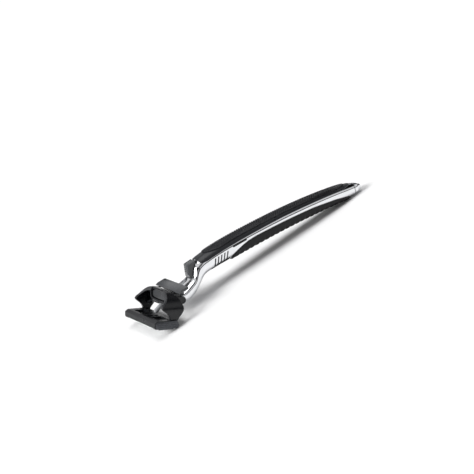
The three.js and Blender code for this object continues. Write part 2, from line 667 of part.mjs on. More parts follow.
// Clips that wrap the ends and hold the blade ends down.
const clipHalf = 3.9;
const clipMiddle = (windowCap + windowGuard) / 2;
const clipShape = [
  [-halfDepth + 0.2, 0.9], [-halfDepth + 0.7, 0.2], [halfDepth - 0.9, 0.2], [halfDepth - 0.2, 0.9],
  [halfDepth - 0.2, unitHeight - 1.1], [halfDepth - 1, unitHeight - 0.2],
  [-halfDepth + 1.7, unitHeight - 0.2], [-halfDepth + 0.2, unitHeight - 1.3],
];
const clipPlate = side(clipShape, -halfLength, -halfLength + clipThick);
const clipLeg = block(
  clipMiddle - clipHalf, clipMiddle + clipHalf, -halfLength, -windowHalf - 0.5, -0.15, 0.35,
);
const clipLeft = clipPlate.add(clipLeg);
const clipCut = block(
  clipMiddle - clipHalf - bed, clipMiddle + clipHalf + bed, -halfLength - 1, -windowHalf - 0.5 + bed,
  -1, 0.35 + bed,
);
housing = housing.subtract(clipCut).subtract(mirrorY(clipCut));

// ---- Meshes ----------------------------------------------------------------------------------------
function geometryOf(s) {
  const mesh = s.getMesh();
  const g = new THREE.BufferGeometry();
  const stride = mesh.numProp;
  const count = mesh.vertProperties.length / stride;
  const flat = new Float32Array(count * 3);
  for (let i = 0; i < count; i += 1) {
    for (let k = 0; k < 3; k += 1) {
      flat[3 * i + k] = mesh.vertProperties[stride * i + k];
    }
  }
  g.setAttribute('position', new THREE.BufferAttribute(flat, 3));
  g.setIndex(new THREE.BufferAttribute(new Uint32Array(mesh.triVerts), 1));
  return g;
}
const finish = (color, roughness, metalness) => new THREE.MeshStandardMaterial({
  color, roughness, metalness,
});
const plated = () => finish(0xd9dadc, 0.12, 1);
const steel = () => finish(0xb8babd, 0.28, 1);
const darkRubber = () => finish(0x17181a, 0.75, 0);
const greyPlastic = () => finish(0x55585c, 0.42, 0);
const blackPlastic = () => finish(0x2a2c2f, 0.4, 0);
const paleStrip = () => finish(0xcfd6cf, 0.5, 0);

function add(group, name, shape, material) {
  const g = shape instanceof THREE.BufferGeometry ? shape : geometryOf(shape);
  const mesh = new THREE.Mesh(g, material);
  mesh.name = name;
  group.add(mesh);
  return mesh;
}

const handle = new THREE.Group();
handle.position.set(dockX, 0, dockZ);
add(handle, 'handle_core', core, plated());
add(handle, 'grip_bezel', bezel, greyPlastic());
add(handle, 'top_grip_pad', pad, darkRubber());
add(handle, 'belly_grip', belly, darkRubber());
add(handle, 'rail_strip_left', stripLeft, blackPlastic());
add(handle, 'rail_strip_right', mirrorY(stripLeft), blackPlastic());
add(handle, 'side_comb_left', combLeft, darkRubber());
add(handle, 'side_comb_right', mirrorY(combLeft), darkRubber());
add(handle, 'tail_cap', tailCap, plated());
add(handle, 'docking_nose', noseDrilled, blackPlastic());
add(handle, 'nose_pin_left', nosePin(-pinPlace), steel());
add(handle, 'nose_pin_right', nosePin(pinPlace), steel());
add(handle, 'plunger', plunger, greyPlastic());
add(handle, 'plunger_spring', plungerSpring, steel());
add(handle, 'release_button', button, greyPlastic());
add(handle, 'button_spring', buttonSpring, steel());
add(handle, 'yoke', yoke, blackPlastic());

const bladeUnit = new THREE.Group();
add(bladeUnit, 'unit_housing', housing, blackPlastic());
add(bladeUnit, 'guard_fins', guard, darkRubber());
add(bladeUnit, 'comfort_strip', strip, paleStrip());
for (let i = 0; i < bladeCount; i += 1) {
  const edgeX = firstEdge - i * bladePitch;
  add(bladeUnit, `blade_${i + 1}`, side(bladeShape(edgeX), -bladeHalf, bladeHalf), steel());
  add(bladeUnit, `blade_support_${i + 1}`, side(supportShape(edgeX), -bladeHalf, bladeHalf), steel());
}
add(bladeUnit, 'end_clip_left', clipLeft, plated());
add(bladeUnit, 'end_clip_right', mirrorY(clipLeft), plated());

// ---- Lay the razor down: turn about y until guard edge and tail both touch the ground ---------------
const razor = new THREE.Group();
razor.add(handle, bladeUnit);

function lowest(group, angle) {
  group.updateMatrixWorld(true);
  let low = Infinity;
  const v = new THREE.Vector3();
  group.traverse((o) => {
    if (!o.isMesh) {
      return;
    }
    const p = o.geometry.attributes.position;
    for (let i = 0; i < p.count; i += 1) {
      v.fromBufferAttribute(p, i).applyMatrix4(o.matrixWorld);
      low = Math.min(low, -v.x * Math.sin(angle) + v.z * Math.cos(angle));
    }
  });
  return low;
}
let shallow = 5 * rad;
let steep = 60 * rad;
for (let i = 0; i < 40; i += 1) {
  const middle = (shallow + steep) / 2;
  if (lowest(bladeUnit, middle) < lowest(handle, middle)) {
    shallow = middle;
  } else {
    steep = middle;
  }
}
razor.rotation.y = shallow;
const group = new THREE.Group();
group.add(razor);
group.updateMatrixWorld(true);
const box = new THREE.Box3().setFromObject(group, true);
razor.position.set(-(box.min.x + box.max.x) / 2, -(box.min.y + box.max.y) / 2, -box.min.z);

export default group;
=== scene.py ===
# %% [markdown]
# A cartridge razor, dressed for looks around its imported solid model. The solid model says where
# each piece sits and how it moves. Here every visible piece gets its finer surface: lofted plated
# metal, ribbed rubber grips, a smooth docking yoke and a blade unit with ground steel edges.

# %% Load the fixed frame
import json
import math

import bmesh
import bpy
from mathutils import Matrix, Vector


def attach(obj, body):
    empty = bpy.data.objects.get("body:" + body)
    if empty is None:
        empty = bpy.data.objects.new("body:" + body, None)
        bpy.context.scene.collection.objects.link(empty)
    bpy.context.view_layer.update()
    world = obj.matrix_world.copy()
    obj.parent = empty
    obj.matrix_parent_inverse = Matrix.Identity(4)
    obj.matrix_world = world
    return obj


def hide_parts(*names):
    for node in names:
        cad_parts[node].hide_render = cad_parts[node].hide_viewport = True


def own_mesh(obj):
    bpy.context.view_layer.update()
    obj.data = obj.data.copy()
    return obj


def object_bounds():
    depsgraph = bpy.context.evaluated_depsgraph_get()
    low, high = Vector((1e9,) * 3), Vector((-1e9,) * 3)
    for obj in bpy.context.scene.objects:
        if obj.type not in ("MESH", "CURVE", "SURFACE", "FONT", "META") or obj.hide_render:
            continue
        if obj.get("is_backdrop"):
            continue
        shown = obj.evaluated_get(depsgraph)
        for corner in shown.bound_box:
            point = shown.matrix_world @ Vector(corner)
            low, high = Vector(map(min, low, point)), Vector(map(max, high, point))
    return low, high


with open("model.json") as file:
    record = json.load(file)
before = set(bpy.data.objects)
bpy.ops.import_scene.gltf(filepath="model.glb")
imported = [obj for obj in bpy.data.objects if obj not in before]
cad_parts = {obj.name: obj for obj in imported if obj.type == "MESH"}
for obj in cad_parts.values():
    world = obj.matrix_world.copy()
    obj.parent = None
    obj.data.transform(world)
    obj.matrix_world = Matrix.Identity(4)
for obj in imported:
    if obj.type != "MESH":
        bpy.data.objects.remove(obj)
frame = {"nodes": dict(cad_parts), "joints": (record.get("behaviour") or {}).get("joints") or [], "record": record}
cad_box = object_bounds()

scene = bpy.context.scene
MM = 0.001
print("solid model box in metres:", [round(v, 4) for v in (*cad_box[0], *cad_box[1])])

# %% [markdown]
# The razor is drawn in two frames of its own, in millimetres. In the unit frame the blade plane is
# z = 0 and y runs along the blades. The dock frame is the same one moved to the front of the
# docking hub, where the handle begins. One matrix for each turns millimetres into the place of the
# lying razor. It is worked out from the pivot joint and from the face of the shaving plane, so
# nothing has to be fitted by eye.

# %% Place the unit frame and the dock frame
PIVOT_IN_UNIT = Vector((4.5, 0, 3))
DOCK_IN_UNIT = Vector((3.7, 0, 14))
mounts = {m["name"]: m for m in frame["record"]["mounts"]}
joints = {j["name"]: j for j in frame["joints"]}
skin_axis = Vector(mounts["shaving_plane"]["axis"])
lean = math.atan2(-skin_axis.x, -skin_axis.z)
pivot = Vector(joints["head_pivot"]["pos_m"])
unit_place = (
    Matrix.Translation(pivot)
    @ Matrix.Rotation(lean, 4, "Y")
    @ Matrix.Scale(MM, 4)
    @ Matrix.Translation(-PIVOT_IN_UNIT)
)
dock_place = unit_place @ Matrix.Translation(DOCK_IN_UNIT)
print("the razor leans by", round(math.degrees(lean), 2), "degrees about its pivot axis")

# %% [markdown]
# The camera looks along the razor from the side of the head, a little above it, with a long lens.
# Its place is given in the unit frame, because the view is tied to the way the blades face. A long
# lens keeps the handle from shrinking towards the tail.

# %% Camera
VIEW_TURN = math.radians(25.25)
VIEW_RISE = math.radians(8)
CAMERA_IN_UNIT = Vector((-350.22, -846.26, 173.18))
FOCAL_IN_PICTURES = 1800 / 474
SENSOR = 36


def camera_matrix():
    turn = Matrix.Rotation(lean, 3, "Y")
    right = turn @ Vector((math.cos(VIEW_TURN), -math.sin(VIEW_TURN), 0))
    ahead = turn @ Vector((
        math.sin(VIEW_TURN) * math.cos(VIEW_RISE),
        math.cos(VIEW_TURN) * math.cos(VIEW_RISE),
        -math.sin(VIEW_RISE),
    ))
    matrix = Matrix.Identity(4)
    columns = (right, right.cross(ahead), -ahead, unit_place @ CAMERA_IN_UNIT)
    for column, vector in enumerate(columns):
        for row in range(3):
            matrix[row][column] = vector[row]
    return matrix


camera_data = bpy.data.cameras.new("camera")
camera_data.sensor_width = SENSOR
camera_data.lens = FOCAL_IN_PICTURES * SENSOR
camera = bpy.data.objects.new("camera", camera_data)
scene.collection.objects.link(camera)
camera.matrix_world = camera_matrix()
scene.camera = camera
print("camera lens", round(camera_data.lens, 1), "mm")

# %% [markdown]
# Polished metal shows nothing but its surroundings, so the light matters more than the metal. The
# surroundings are a bright studio with a few soft dark bands, which draw the curves of the plated
# neck. Two broad suns, one from the side of the head and one from above, light the floor evenly
# and keep its shadows soft.

# %% Surroundings and lamps
world = bpy.data.worlds.new("studio")
scene.world = world
world.use_nodes = True
WORLD_LIGHT = 0.5
world_tree = world.node_tree
background = world_tree.nodes["Background"]
background.inputs["Strength"].default_value = WORLD_LIGHT
direction = world_tree.nodes.new("ShaderNodeTexCoord")
height_split = world_tree.nodes.new("ShaderNodeSeparateXYZ")
bands = world_tree.nodes.new("ShaderNodeValToRGB")
world_tree.links.new(direction.outputs["Generated"], height_split.inputs[0])
half_height = world_tree.nodes.new("ShaderNodeMath")
half_height.operation = "MULTIPLY_ADD"
half_height.inputs[1].default_value = 0.5
half_height.inputs[2].default_value = 0.5
world_tree.links.new(height_split.outputs["Z"], half_height.inputs[0])
world_tree.links.new(half_height.outputs[0], bands.inputs["Fac"])
flags = world_tree.nodes.new("ShaderNodeTexNoise")
flags.inputs["Scale"].default_value = 2.1
flags.inputs["Detail"].default_value = 1
world_tree.links.new(direction.outputs["Generated"], flags.inputs["Vector"])
flag_edges = world_tree.nodes.new("ShaderNodeValToRGB")
flag_edges.color_ramp.elements[0].position = 0.44
flag_edges.color_ramp.elements[0].color = (0.05, 0.05, 0.055, 1)
flag_edges.color_ramp.elements[1].position = 0.48
world_tree.links.new(flags.outputs["Fac"], flag_edges.inputs["Fac"])
flagged = world_tree.nodes.new("ShaderNodeMix")
flagged.data_type = "RGBA"
flagged.blend_type = "MULTIPLY"
flagged.inputs[0].default_value = 1
world_tree.links.new(bands.outputs["Color"], flagged.inputs[6])
world_tree.links.new(flag_edges.outputs["Color"], flagged.inputs[7])
world_tree.links.new(flagged.outputs[2], background.inputs["Color"])
BAND_STOPS = [
    (0.0, 0.8), (0.44, 0.8), (0.48, 0.03), (0.57, 0.03), (0.61, 1.3), (0.74, 1.4), (0.78, 0.1), (0.86, 0.1),
    (0.9, 1.4),
]
ramp = bands.color_ramp
ramp.elements[0].position, ramp.elements[1].position = BAND_STOPS[0][0], BAND_STOPS[-1][0]
for position, _ in BAND_STOPS[1:-1]:
    ramp.elements.new(position)
for element, (_, grey) in zip(ramp.elements, BAND_STOPS):
    element.color = (grey, grey, grey * 1.01, 1)

LAMPS = [
    ("key_sun", (-0.8, 0.05, 0.6), 30, 3.2),
    ("top_sun", (0.25, 0.15, 1.0), 50, 0.9),
]
for name, place, spread, strength in LAMPS:
    lamp_data = bpy.data.lights.new(name, "SUN")
    lamp_data.angle = math.radians(spread)
    lamp_data.energy = strength
    lamp = bpy.data.objects.new(name, lamp_data)
    scene.collection.objects.link(lamp)
    lamp.location = place
    lamp.rotation_euler = (-Vector(place)).to_track_quat("-Z", "Y").to_euler()
scene.view_settings.view_transform = "Standard"
print("lamps:", [row[0] for row in LAMPS])

# %% [markdown]
# Materials are node trees. A small helper adds a node, sets its values and wires its inputs, so a
# recipe reads from top to bottom. Effects that several finishes share are node groups, made once.
# Each group puts out plain values that change over the surface. The shader itself stays in the
# material.

# %% Node helpers


def add_node(tree, kind, values=None, links=None, **settings):
    made = tree.nodes.new(kind)
    for key, value in settings.items():
        setattr(made, key, value)
    for socket, value in (values or {}).items():
        made.inputs[socket].default_value = value
    for socket, source in (links or {}).items():
        tree.links.new(source, made.inputs[socket])
    return made


def new_group(name, inputs, outputs):
    tree = bpy.data.node_groups.new(name, "ShaderNodeTree")
    for label, value in inputs.items():
        socket = tree.interface.new_socket(label, in_out="INPUT", socket_type="NodeSocketFloat")
        socket.default_value = value
    for label, kind in outputs.items():
        tree.interface.new_socket(label, in_out="OUTPUT", socket_type=kind)
    return tree, tree.nodes.new("NodeGroupInput"), tree.nodes.new("NodeGroupOutput")


def use_group(tree, group, **values):
    made = tree.nodes.new("ShaderNodeGroup")
    made.node_tree = group
    for label, value in values.items():
        made.inputs[label.replace("_", " ")].default_value = value
    return made


def in_millimetres(tree, place):
    """Object coordinates turned into one of the razor's own frames, in millimetres."""
    inverse = place.inverted()
    coordinate = add_node(tree, "ShaderNodeTexCoord")
    return add_node(
        tree,
        "ShaderNodeMapping",
        values={"Location": inverse.translation, "Rotation": (0, -lean, 0), "Scale": (1 / MM,) * 3},
        links={"Vector": coordinate.outputs["Object"]},
    ).outputs["Vector"]


print("node helpers ready")

# %% [markdown]
# Moulding grain is the faint texture that a spark-eroded mould leaves on plastic and rubber. It
# could be modelled, but it is a few hundredths of a millimetre deep, so a bump is right. The group
# gives a fine height and a slow cloud, which makes the gloss a little uneven as it is on real
# mouldings.

# %% Moulding grain group
grain_group, grain_in, grain_out = new_group(
    "moulding grain",
    {"Grain Size": 0.2, "Cloud Size": 6.0},
    {"Height": "NodeSocketFloat", "Cloud": "NodeSocketFloat"},
)
grain_space = in_millimetres(grain_group, dock_place)
for size_label, output_label, detail in (("Grain Size", "Height", 3), ("Cloud Size", "Cloud", 4)):
    inverse_size = add_node(
        grain_group, "ShaderNodeMath", {0: 1.0}, {1: grain_in.outputs[size_label]}, operation="DIVIDE"
    )
    noise = add_node(
        grain_group,
        "ShaderNodeTexNoise",
        {"Detail": detail, "Roughness": 0.6},
        {"Vector": grain_space, "Scale": inverse_size.outputs[0]},
    )
    grain_group.links.new(noise.outputs["Fac"], grain_out.inputs[output_label])
print("group:", grain_group.name)

# %% [markdown]
# Edges that stand proud are painted lighter, partly for rubbing from handling and partly as a painted highlight,
# and hollows are painted darker as painted shade. Both masks come from how sharply the surface bends at a point,
# broken up with noise so that they are patchy.

# %% Rubbed edge and painted light group
rub_and_shade_group, rub_and_shade_in, rub_and_shade_out = new_group(
    "rubbed edges and painted light",
    {"Patch Size": 2.0},
    {"Edge": "NodeSocketFloat", "Hollow Shade": "NodeSocketFloat"},
)
bend = add_node(rub_and_shade_group, "ShaderNodeNewGeometry")
rub_and_shade_scale = add_node(
    rub_and_shade_group, "ShaderNodeMath", {0: 1.0}, {1: rub_and_shade_in.outputs["Patch Size"]}, operation="DIVIDE"
)
rub_and_shade_noise = add_node(
    rub_and_shade_group,
    "ShaderNodeTexNoise",
    {"Detail": 5},
    {"Vector": in_millimetres(rub_and_shade_group, dock_place), "Scale": rub_and_shade_scale.outputs[0]},
)
# Edge lightens convex edges, partly rubbing and partly painted highlight; the hollow mask darkens hollows as
# painted shade.
for label, low, high in (("Edge", 0.52, 0.62), ("Hollow Shade", 0.48, 0.4)):
    mask = add_node(
        rub_and_shade_group,
        "ShaderNodeMapRange",
        {"From Min": low, "From Max": high},
        {"Value": bend.outputs["Pointiness"]},
    )
    patchy = add_node(
        rub_and_shade_group,
        "ShaderNodeMath",
        links={0: mask.outputs["Result"], 1: rub_and_shade_noise.outputs["Fac"]},
        operation="MULTIPLY",
    )
    rub_and_shade_group.links.new(patchy.outputs[0], rub_and_shade_out.inputs[label])
print("group:", rub_and_shade_group.name)

# %% [markdown]
# Rubber grips are cut with fine slanting ribs so that a wet hand holds them. The large ribs are in
# the mesh. This group adds the finer hatch between them, two sets of lines that cross at a slant,
# in a frame that follows the handle.

# %% Hatch group
hatch_group, hatch_in, hatch_out = new_group(
    "rubber hatch",
    {"Pitch": 0.6, "Slant": 0.6},
    {"Height": "NodeSocketFloat"},
)
hatch_space = add_node(
    hatch_group, "ShaderNodeSeparateXYZ", links={0: in_millimetres(hatch_group, dock_place)}
)
hatch_rate = add_node(
    hatch_group, "ShaderNodeMath", {0: 2 * math.pi}, {1: hatch_in.outputs["Pitch"]}, operation="DIVIDE"
)
hatch_lines = []
for sign in (1, -1):
    slanted = add_node(
        hatch_group, "ShaderNodeMath", {1: sign}, {0: hatch_in.outputs["Slant"]}, operation="MULTIPLY"
    )
    across = add_node(
        hatch_group,
        "ShaderNodeMath",
        links={0: hatch_space.outputs["Y"], 1: slanted.outputs[0], 2: hatch_space.outputs["X"]},
        operation="MULTIPLY_ADD",
    )
    phase = add_node(
        hatch_group,
        "ShaderNodeMath",
        links={0: across.outputs[0], 1: hatch_rate.outputs[0]},
        operation="MULTIPLY",
    )
    hatch_lines.append(
        add_node(hatch_group, "ShaderNodeMath", links={0: phase.outputs[0]}, operation="SINE")
    )
hatch_top = add_node(
    hatch_group,
    "ShaderNodeMath",
    links={0: hatch_lines[0].outputs[0], 1: hatch_lines[1].outputs[0]},
    operation="MAXIMUM",
)
hatch_group.links.new(hatch_top.outputs[0], hatch_out.inputs["Height"])
print("group:", hatch_group.name)

# %% [markdown]
# One recipe serves all the moulded plastics and rubbers: a base colour that clouds slightly, edges that turn
# lighter, partly for rubbing and partly as a painted highlight, hollows painted darker as painted shade, grain for
# the bump and a gloss that varies with the same cloud. What differs from piece to piece is the colour, the gloss
# and the grain.

# %% Moulded finishes


def shade(colour, factor):
    return (*[min(1, c * factor) for c in colour], 1)


GRAIN_SIZE = 0.22
CLOUD_SIZE = 7.0


def moulded(name, colour, roughness, bump=0.12, edge_rub_and_highlight=1.5, hatch=None, shine=0.5):
    material = bpy.data.materials.new(name)
    material.use_nodes = True
    tree = material.node_tree
    shader = tree.nodes["Principled BSDF"]
    grains = use_group(tree, grain_group, Grain_Size=GRAIN_SIZE, Cloud_Size=CLOUD_SIZE)
    rub_and_shade_masks = use_group(tree, rub_and_shade_group, Patch_Size=1.6)
    cloudy = add_node(
        tree,
        "ShaderNodeMix",
        links={0: grains.outputs["Cloud"]},
        data_type="RGBA",
    )
    cloudy.inputs[6].default_value = shade(colour, 0.82)
    cloudy.inputs[7].default_value = shade(colour, 1.18)
    # Convex edges painted lighter: partly rubbing from handling, partly painted highlight.
    rubbed_and_highlit = add_node(
        tree,
        "ShaderNodeMix",
        links={0: rub_and_shade_masks.outputs["Edge"], 6: cloudy.outputs[2]},
        data_type="RGBA",
    )
    rubbed_and_highlit.inputs[7].default_value = shade(colour, edge_rub_and_highlight)
    # Hollows painted darker: painted shade.
    hollow_shaded = add_node(
        tree,
        "ShaderNodeMix",
        links={0: rub_and_shade_masks.outputs["Hollow Shade"], 6: rubbed_and_highlit.outputs[2]},
        data_type="RGBA",
    )
    hollow_shaded.inputs[7].default_value = shade(colour, 0.5)
    tree.links.new(hollow_shaded.outputs[2], shader.inputs["Base Color"])
    gloss = add_node(
        tree,
        "ShaderNodeMapRange",
        {"From Min": 0.3, "From Max": 0.7, "To Min": roughness - 0.06, "To Max": roughness + 0.08},
        {"Value": grains.outputs["Cloud"]},
    )
    tree.links.new(gloss.outputs["Result"], shader.inputs["Roughness"])
    shader.inputs["Specular IOR Level"].default_value = shine
    fine = add_node(
        tree,
        "ShaderNodeBump",
        {"Strength": bump, "Distance": 0.05 * MM},
        {"Height": grains.outputs["Height"]},
    )
    normal = fine
    if hatch:
        lines = use_group(tree, hatch_group, Pitch=hatch[0], Slant=hatch[1])
        normal = add_node(
            tree,
            "ShaderNodeBump",
            {"Strength": hatch[2], "Distance": 0.12 * MM},
            {"Height": lines.outputs["Height"], "Normal": fine.outputs["Normal"]},
        )
    tree.links.new(normal.outputs["Normal"], shader.inputs["Normal"])
    return material


satin_grey = moulded("satin_grey", (0.02, 0.021, 0.024), 0.3, edge_rub_and_highlight=2.5, shine=0.4)
button_grey = moulded("button_grey", (0.045, 0.048, 0.052), 0.2, edge_rub_and_highlight=3.0, shine=0.6)
nose_plastic = moulded("nose_plastic", (0.045, 0.047, 0.05), 0.34, shine=0.5)
head_plastic = moulded("head_plastic", (0.008, 0.0085, 0.0095), 0.3, edge_rub_and_highlight=4.0, shine=0.35)
yoke_plastic = moulded("yoke_plastic", (0.009, 0.0095, 0.011), 0.2, edge_rub_and_highlight=5.0, shine=0.4)
plunger_plastic = moulded("plunger_plastic", (0.3, 0.31, 0.32), 0.42)
pad_rubber = moulded(
    "pad_rubber", (0.003, 0.0035, 0.006), 0.3, hatch=(0.62, 0.7, 0.5), bump=0.3, edge_rub_and_highlight=4.0, shine=0.45
)
belly_rubber = moulded("belly_rubber", (0.008, 0.008, 0.009), 0.5, bump=0.35, shine=0.3)
fin_rubber = moulded("fin_rubber", (0.03, 0.034, 0.04), 0.55, bump=0.3)
trim_black = moulded("trim_black", (0.008, 0.008, 0.009), 0.22, bump=0.05)
print("moulded finishes:", len(bpy.data.materials))

# %% [markdown]
# Plating is a bright mirror with the faintest haze where fingers have been. Its colour stays almost even, apart
# from painted shade that darkens it in hollows, and the story is in the roughness: a slow cloud of smudges and a
# few fine rubbing lines along the handle.

# %% Plated and steel finishes


METAL_CLOUD = 0.92
# The metal's colour is painted darker in hollows by this factor: painted shade.
METAL_HOLLOW_SHADE = 0.6


def metal(name, colour, low, high, streak=(1, 1, 1), size=4.0, bump=0.0):
    material = bpy.data.materials.new(name)
    material.use_nodes = True
    tree = material.node_tree
    shader = tree.nodes["Principled BSDF"]
    shader.inputs["Metallic"].default_value = 1.0
    stretched = add_node(
        tree,
        "ShaderNodeMapping",
        {"Scale": streak},
        {"Vector": in_millimetres(tree, unit_place)},
    )
    noise = add_node(
        tree,
        "ShaderNodeTexNoise",
        {"Scale": 1 / size, "Detail": 6, "Roughness": 0.6},
        {"Vector": stretched.outputs["Vector"]},
    )
    rub_and_shade_masks = use_group(tree, rub_and_shade_group, Patch_Size=1.2)
    gloss = add_node(
        tree,
        "ShaderNodeMapRange",
        {"From Min": 0.35, "From Max": 0.7, "To Min": low, "To Max": high},
        {"Value": noise.outputs["Fac"]},
    )
    tree.links.new(gloss.outputs["Result"], shader.inputs["Roughness"])
    mixed = add_node(tree, "ShaderNodeMix", links={0: noise.outputs["Fac"]}, data_type="RGBA")
    mixed.inputs[6].default_value = shade(colour, 1)
    mixed.inputs[7].default_value = shade(colour, METAL_CLOUD)
    # Hollows painted darker on the metal: painted shade.
    hollow_shaded_plating = add_node(
        tree,
        "ShaderNodeMix",
        links={0: rub_and_shade_masks.outputs["Hollow Shade"], 6: mixed.outputs[2]},
        data_type="RGBA",
    )
    hollow_shaded_plating.inputs[7].default_value = shade(colour, METAL_HOLLOW_SHADE)
    tree.links.new(hollow_shaded_plating.outputs[2], shader.inputs["Base Color"])
    if bump:
        relief = add_node(
            tree,
            "ShaderNodeBump",
            {"Strength": bump, "Distance": 0.02 * MM},
            {"Height": noise.outputs["Fac"]},
        )
        tree.links.new(relief.outputs["Normal"], shader.inputs["Normal"])
    return material


chrome_plating = metal("chrome_plating", (0.86, 0.87, 0.89), 0.035, 0.11)
blade_steel = metal("blade_steel", (0.66, 0.67, 0.69), 0.12, 0.3, streak=(8, 0.25, 8), size=2.0, bump=0.3)
support_steel = metal("support_steel", (0.45, 0.46, 0.48), 0.25, 0.42, streak=(1, 6, 1), size=2.0, bump=0.2)
spring_steel = metal("spring_steel", (0.5, 0.5, 0.52), 0.2, 0.35, size=0.8, bump=0.2)
clip_metal = metal("clip_metal", (0.075, 0.078, 0.085), 0.24, 0.38, streak=(6, 6, 0.6), size=2.0, bump=0.2)
print("metal finishes:", [m.name for m in (chrome_plating, blade_steel, clip_metal)])

# %% [markdown]
# The comfort strip is a sponge-like polymer that swells with water. It is pale and slightly
# glossy, with lengthwise streaks from moulding, so a noise stretched along the blades colours it
# and dents it.

# %% Comfort strip finish


def strip_finish():
    material = bpy.data.materials.new("strip_pale")
    material.use_nodes = True
    tree = material.node_tree
    shader = tree.nodes["Principled BSDF"]
    streaks = add_node(
        tree, "ShaderNodeMapping", {"Scale": (3, 0.12, 3)}, {"Vector": in_millimetres(tree, unit_place)}
    )
    noise = add_node(
        tree, "ShaderNodeTexNoise", {"Scale": 1.4, "Detail": 6}, {"Vector": streaks.outputs["Vector"]}
    )
    tone = add_node(tree, "ShaderNodeMix", links={0: noise.outputs["Fac"]}, data_type="RGBA")
    tone.inputs[6].default_value = (0.5, 0.58, 0.52, 1)
    tone.inputs[7].default_value = (0.74, 0.8, 0.75, 1)
    tree.links.new(tone.outputs[2], shader.inputs["Base Color"])
    gloss = add_node(
        tree, "ShaderNodeMapRange", {"To Min": 0.3, "To Max": 0.6}, {"Value": noise.outputs["Fac"]}
    )
    tree.links.new(gloss.outputs["Result"], shader.inputs["Roughness"])
    dents = add_node(
        tree, "ShaderNodeBump", {"Strength": 0.4, "Distance": 0.05 * MM}, {"Height": noise.outputs["Fac"]}
    )
    tree.links.new(dents.outputs["Normal"], shader.inputs["Normal"])
    return material


strip_pale = strip_finish()
print("comfort strip finish ready")

# %% [markdown]
# Every piece ends the same way. Its doubles are merged, its faces are turned outwards, and its
# millimetres become its real place, so the object itself stays at the origin. Then it rides on its
# body and stands for its solid. Sharp corners are marked by angle, so round stretches shade
# smoothly and real edges stay crisp.

# %% Finishing helpers


def finish_piece(name, bm, place, body, nodes, material, crease=38, live_bevel=0.0):
    bmesh.ops.remove_doubles(bm, verts=bm.verts, dist=1e-4)
    bmesh.ops.recalc_face_normals(bm, faces=bm.faces)
    bmesh.ops.transform(bm, matrix=place, verts=bm.verts)
    mesh = bpy.data.meshes.new(name)
    bm.to_mesh(mesh)
    bm.free()
    mesh.shade_smooth()
    mesh.set_sharp_from_angle(angle=math.radians(crease))
    mesh.materials.append(material)
    piece = bpy.data.objects.new(name, mesh)
    scene.collection.objects.link(piece)
    if live_bevel:
        rounding = piece.modifiers.new("edge rounding", "BEVEL")
        rounding.width = live_bevel * MM
        rounding.segments = 2
        rounding.limit_method = "ANGLE"
        rounding.angle_limit = math.radians(crease)
    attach(piece, body)
    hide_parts(*nodes)
    print(name, "has", len(mesh.polygons), "faces")
    return piece


def soften(bm, edges, offset, segments=3):
    bmesh.ops.bevel(
        bm,
        geom=list(edges),
        offset=offset,
        offset_type="OFFSET",
        segments=segments,
        profile=0.5,
        affect="EDGES",
        clamp_overlap=True,
        material=-1,
    )


def sharp_edges(bm, degrees=30):
    limit = math.radians(degrees)
    return [e for e in bm.edges if len(e.link_faces) == 2 and e.calc_face_angle(0) > limit]


def join(bm, other):
    """Adds the faces of another bmesh to this one."""
    carrier = bpy.data.meshes.new("carrier")
    other.to_mesh(carrier)
    other.free()
    bm.from_mesh(carrier)
    bpy.data.meshes.remove(carrier)


print("finishing helpers ready")

# %% [markdown]
# Flat-sided pieces are plates: an outline drawn from the side, given a thickness along the blades,
# with its rim rounded. An outline is a few points made into one face, and one extrusion and one
# bevel do the rest.

# %% Plates and blocks


def plate(outline, y0, y1, rim=0.2, segments=3):
    bm = bmesh.new()
    face = bm.faces.new([bm.verts.new((x, y0, z)) for x, z in outline])
    made = bmesh.ops.extrude_face_region(bm, geom=[face])["geom"]
    far_side = [v for v in made if isinstance(v, bmesh.types.BMVert)]
    bmesh.ops.translate(bm, vec=(0, y1 - y0, 0), verts=far_side)
    bmesh.ops.recalc_face_normals(bm, faces=bm.faces)
    if rim:
        soften(bm, sharp_edges(bm), rim, segments)
    return bm


def block(low, high, rim=0.2, corner=0.0, corner_axis=1):
    """A box from its low to its high corner; corners along one axis can be rounded first."""
    bm = bmesh.new()
    bmesh.ops.create_cube(bm, size=1)
    size = [b - a for a, b in zip(low, high)]
    middle = [(a + b) / 2 for a, b in zip(low, high)]
    bmesh.ops.scale(bm, vec=size, verts=bm.verts)
    bmesh.ops.translate(bm, vec=middle, verts=bm.verts)
    if corner:
        along = [
            e for e in bm.edges
            if abs((e.verts[0].co - e.verts[1].co).normalized()[corner_axis]) > 0.99
        ]
        soften(bm, along, corner, 10)
    if rim:
        soften(bm, sharp_edges(bm, 50), rim)
    return bm


print("plate and block helpers ready")

# %% [markdown]
# The handle is a row of cross-sections along a spine, rounded boxes that grow and shrink from the
# thin neck to the tail. The stations are the same ones that the solid model is lofted through, and
# a smooth curve runs between them. Any point of the handle's skin can then be found from how far
# along it lies, and how far round.

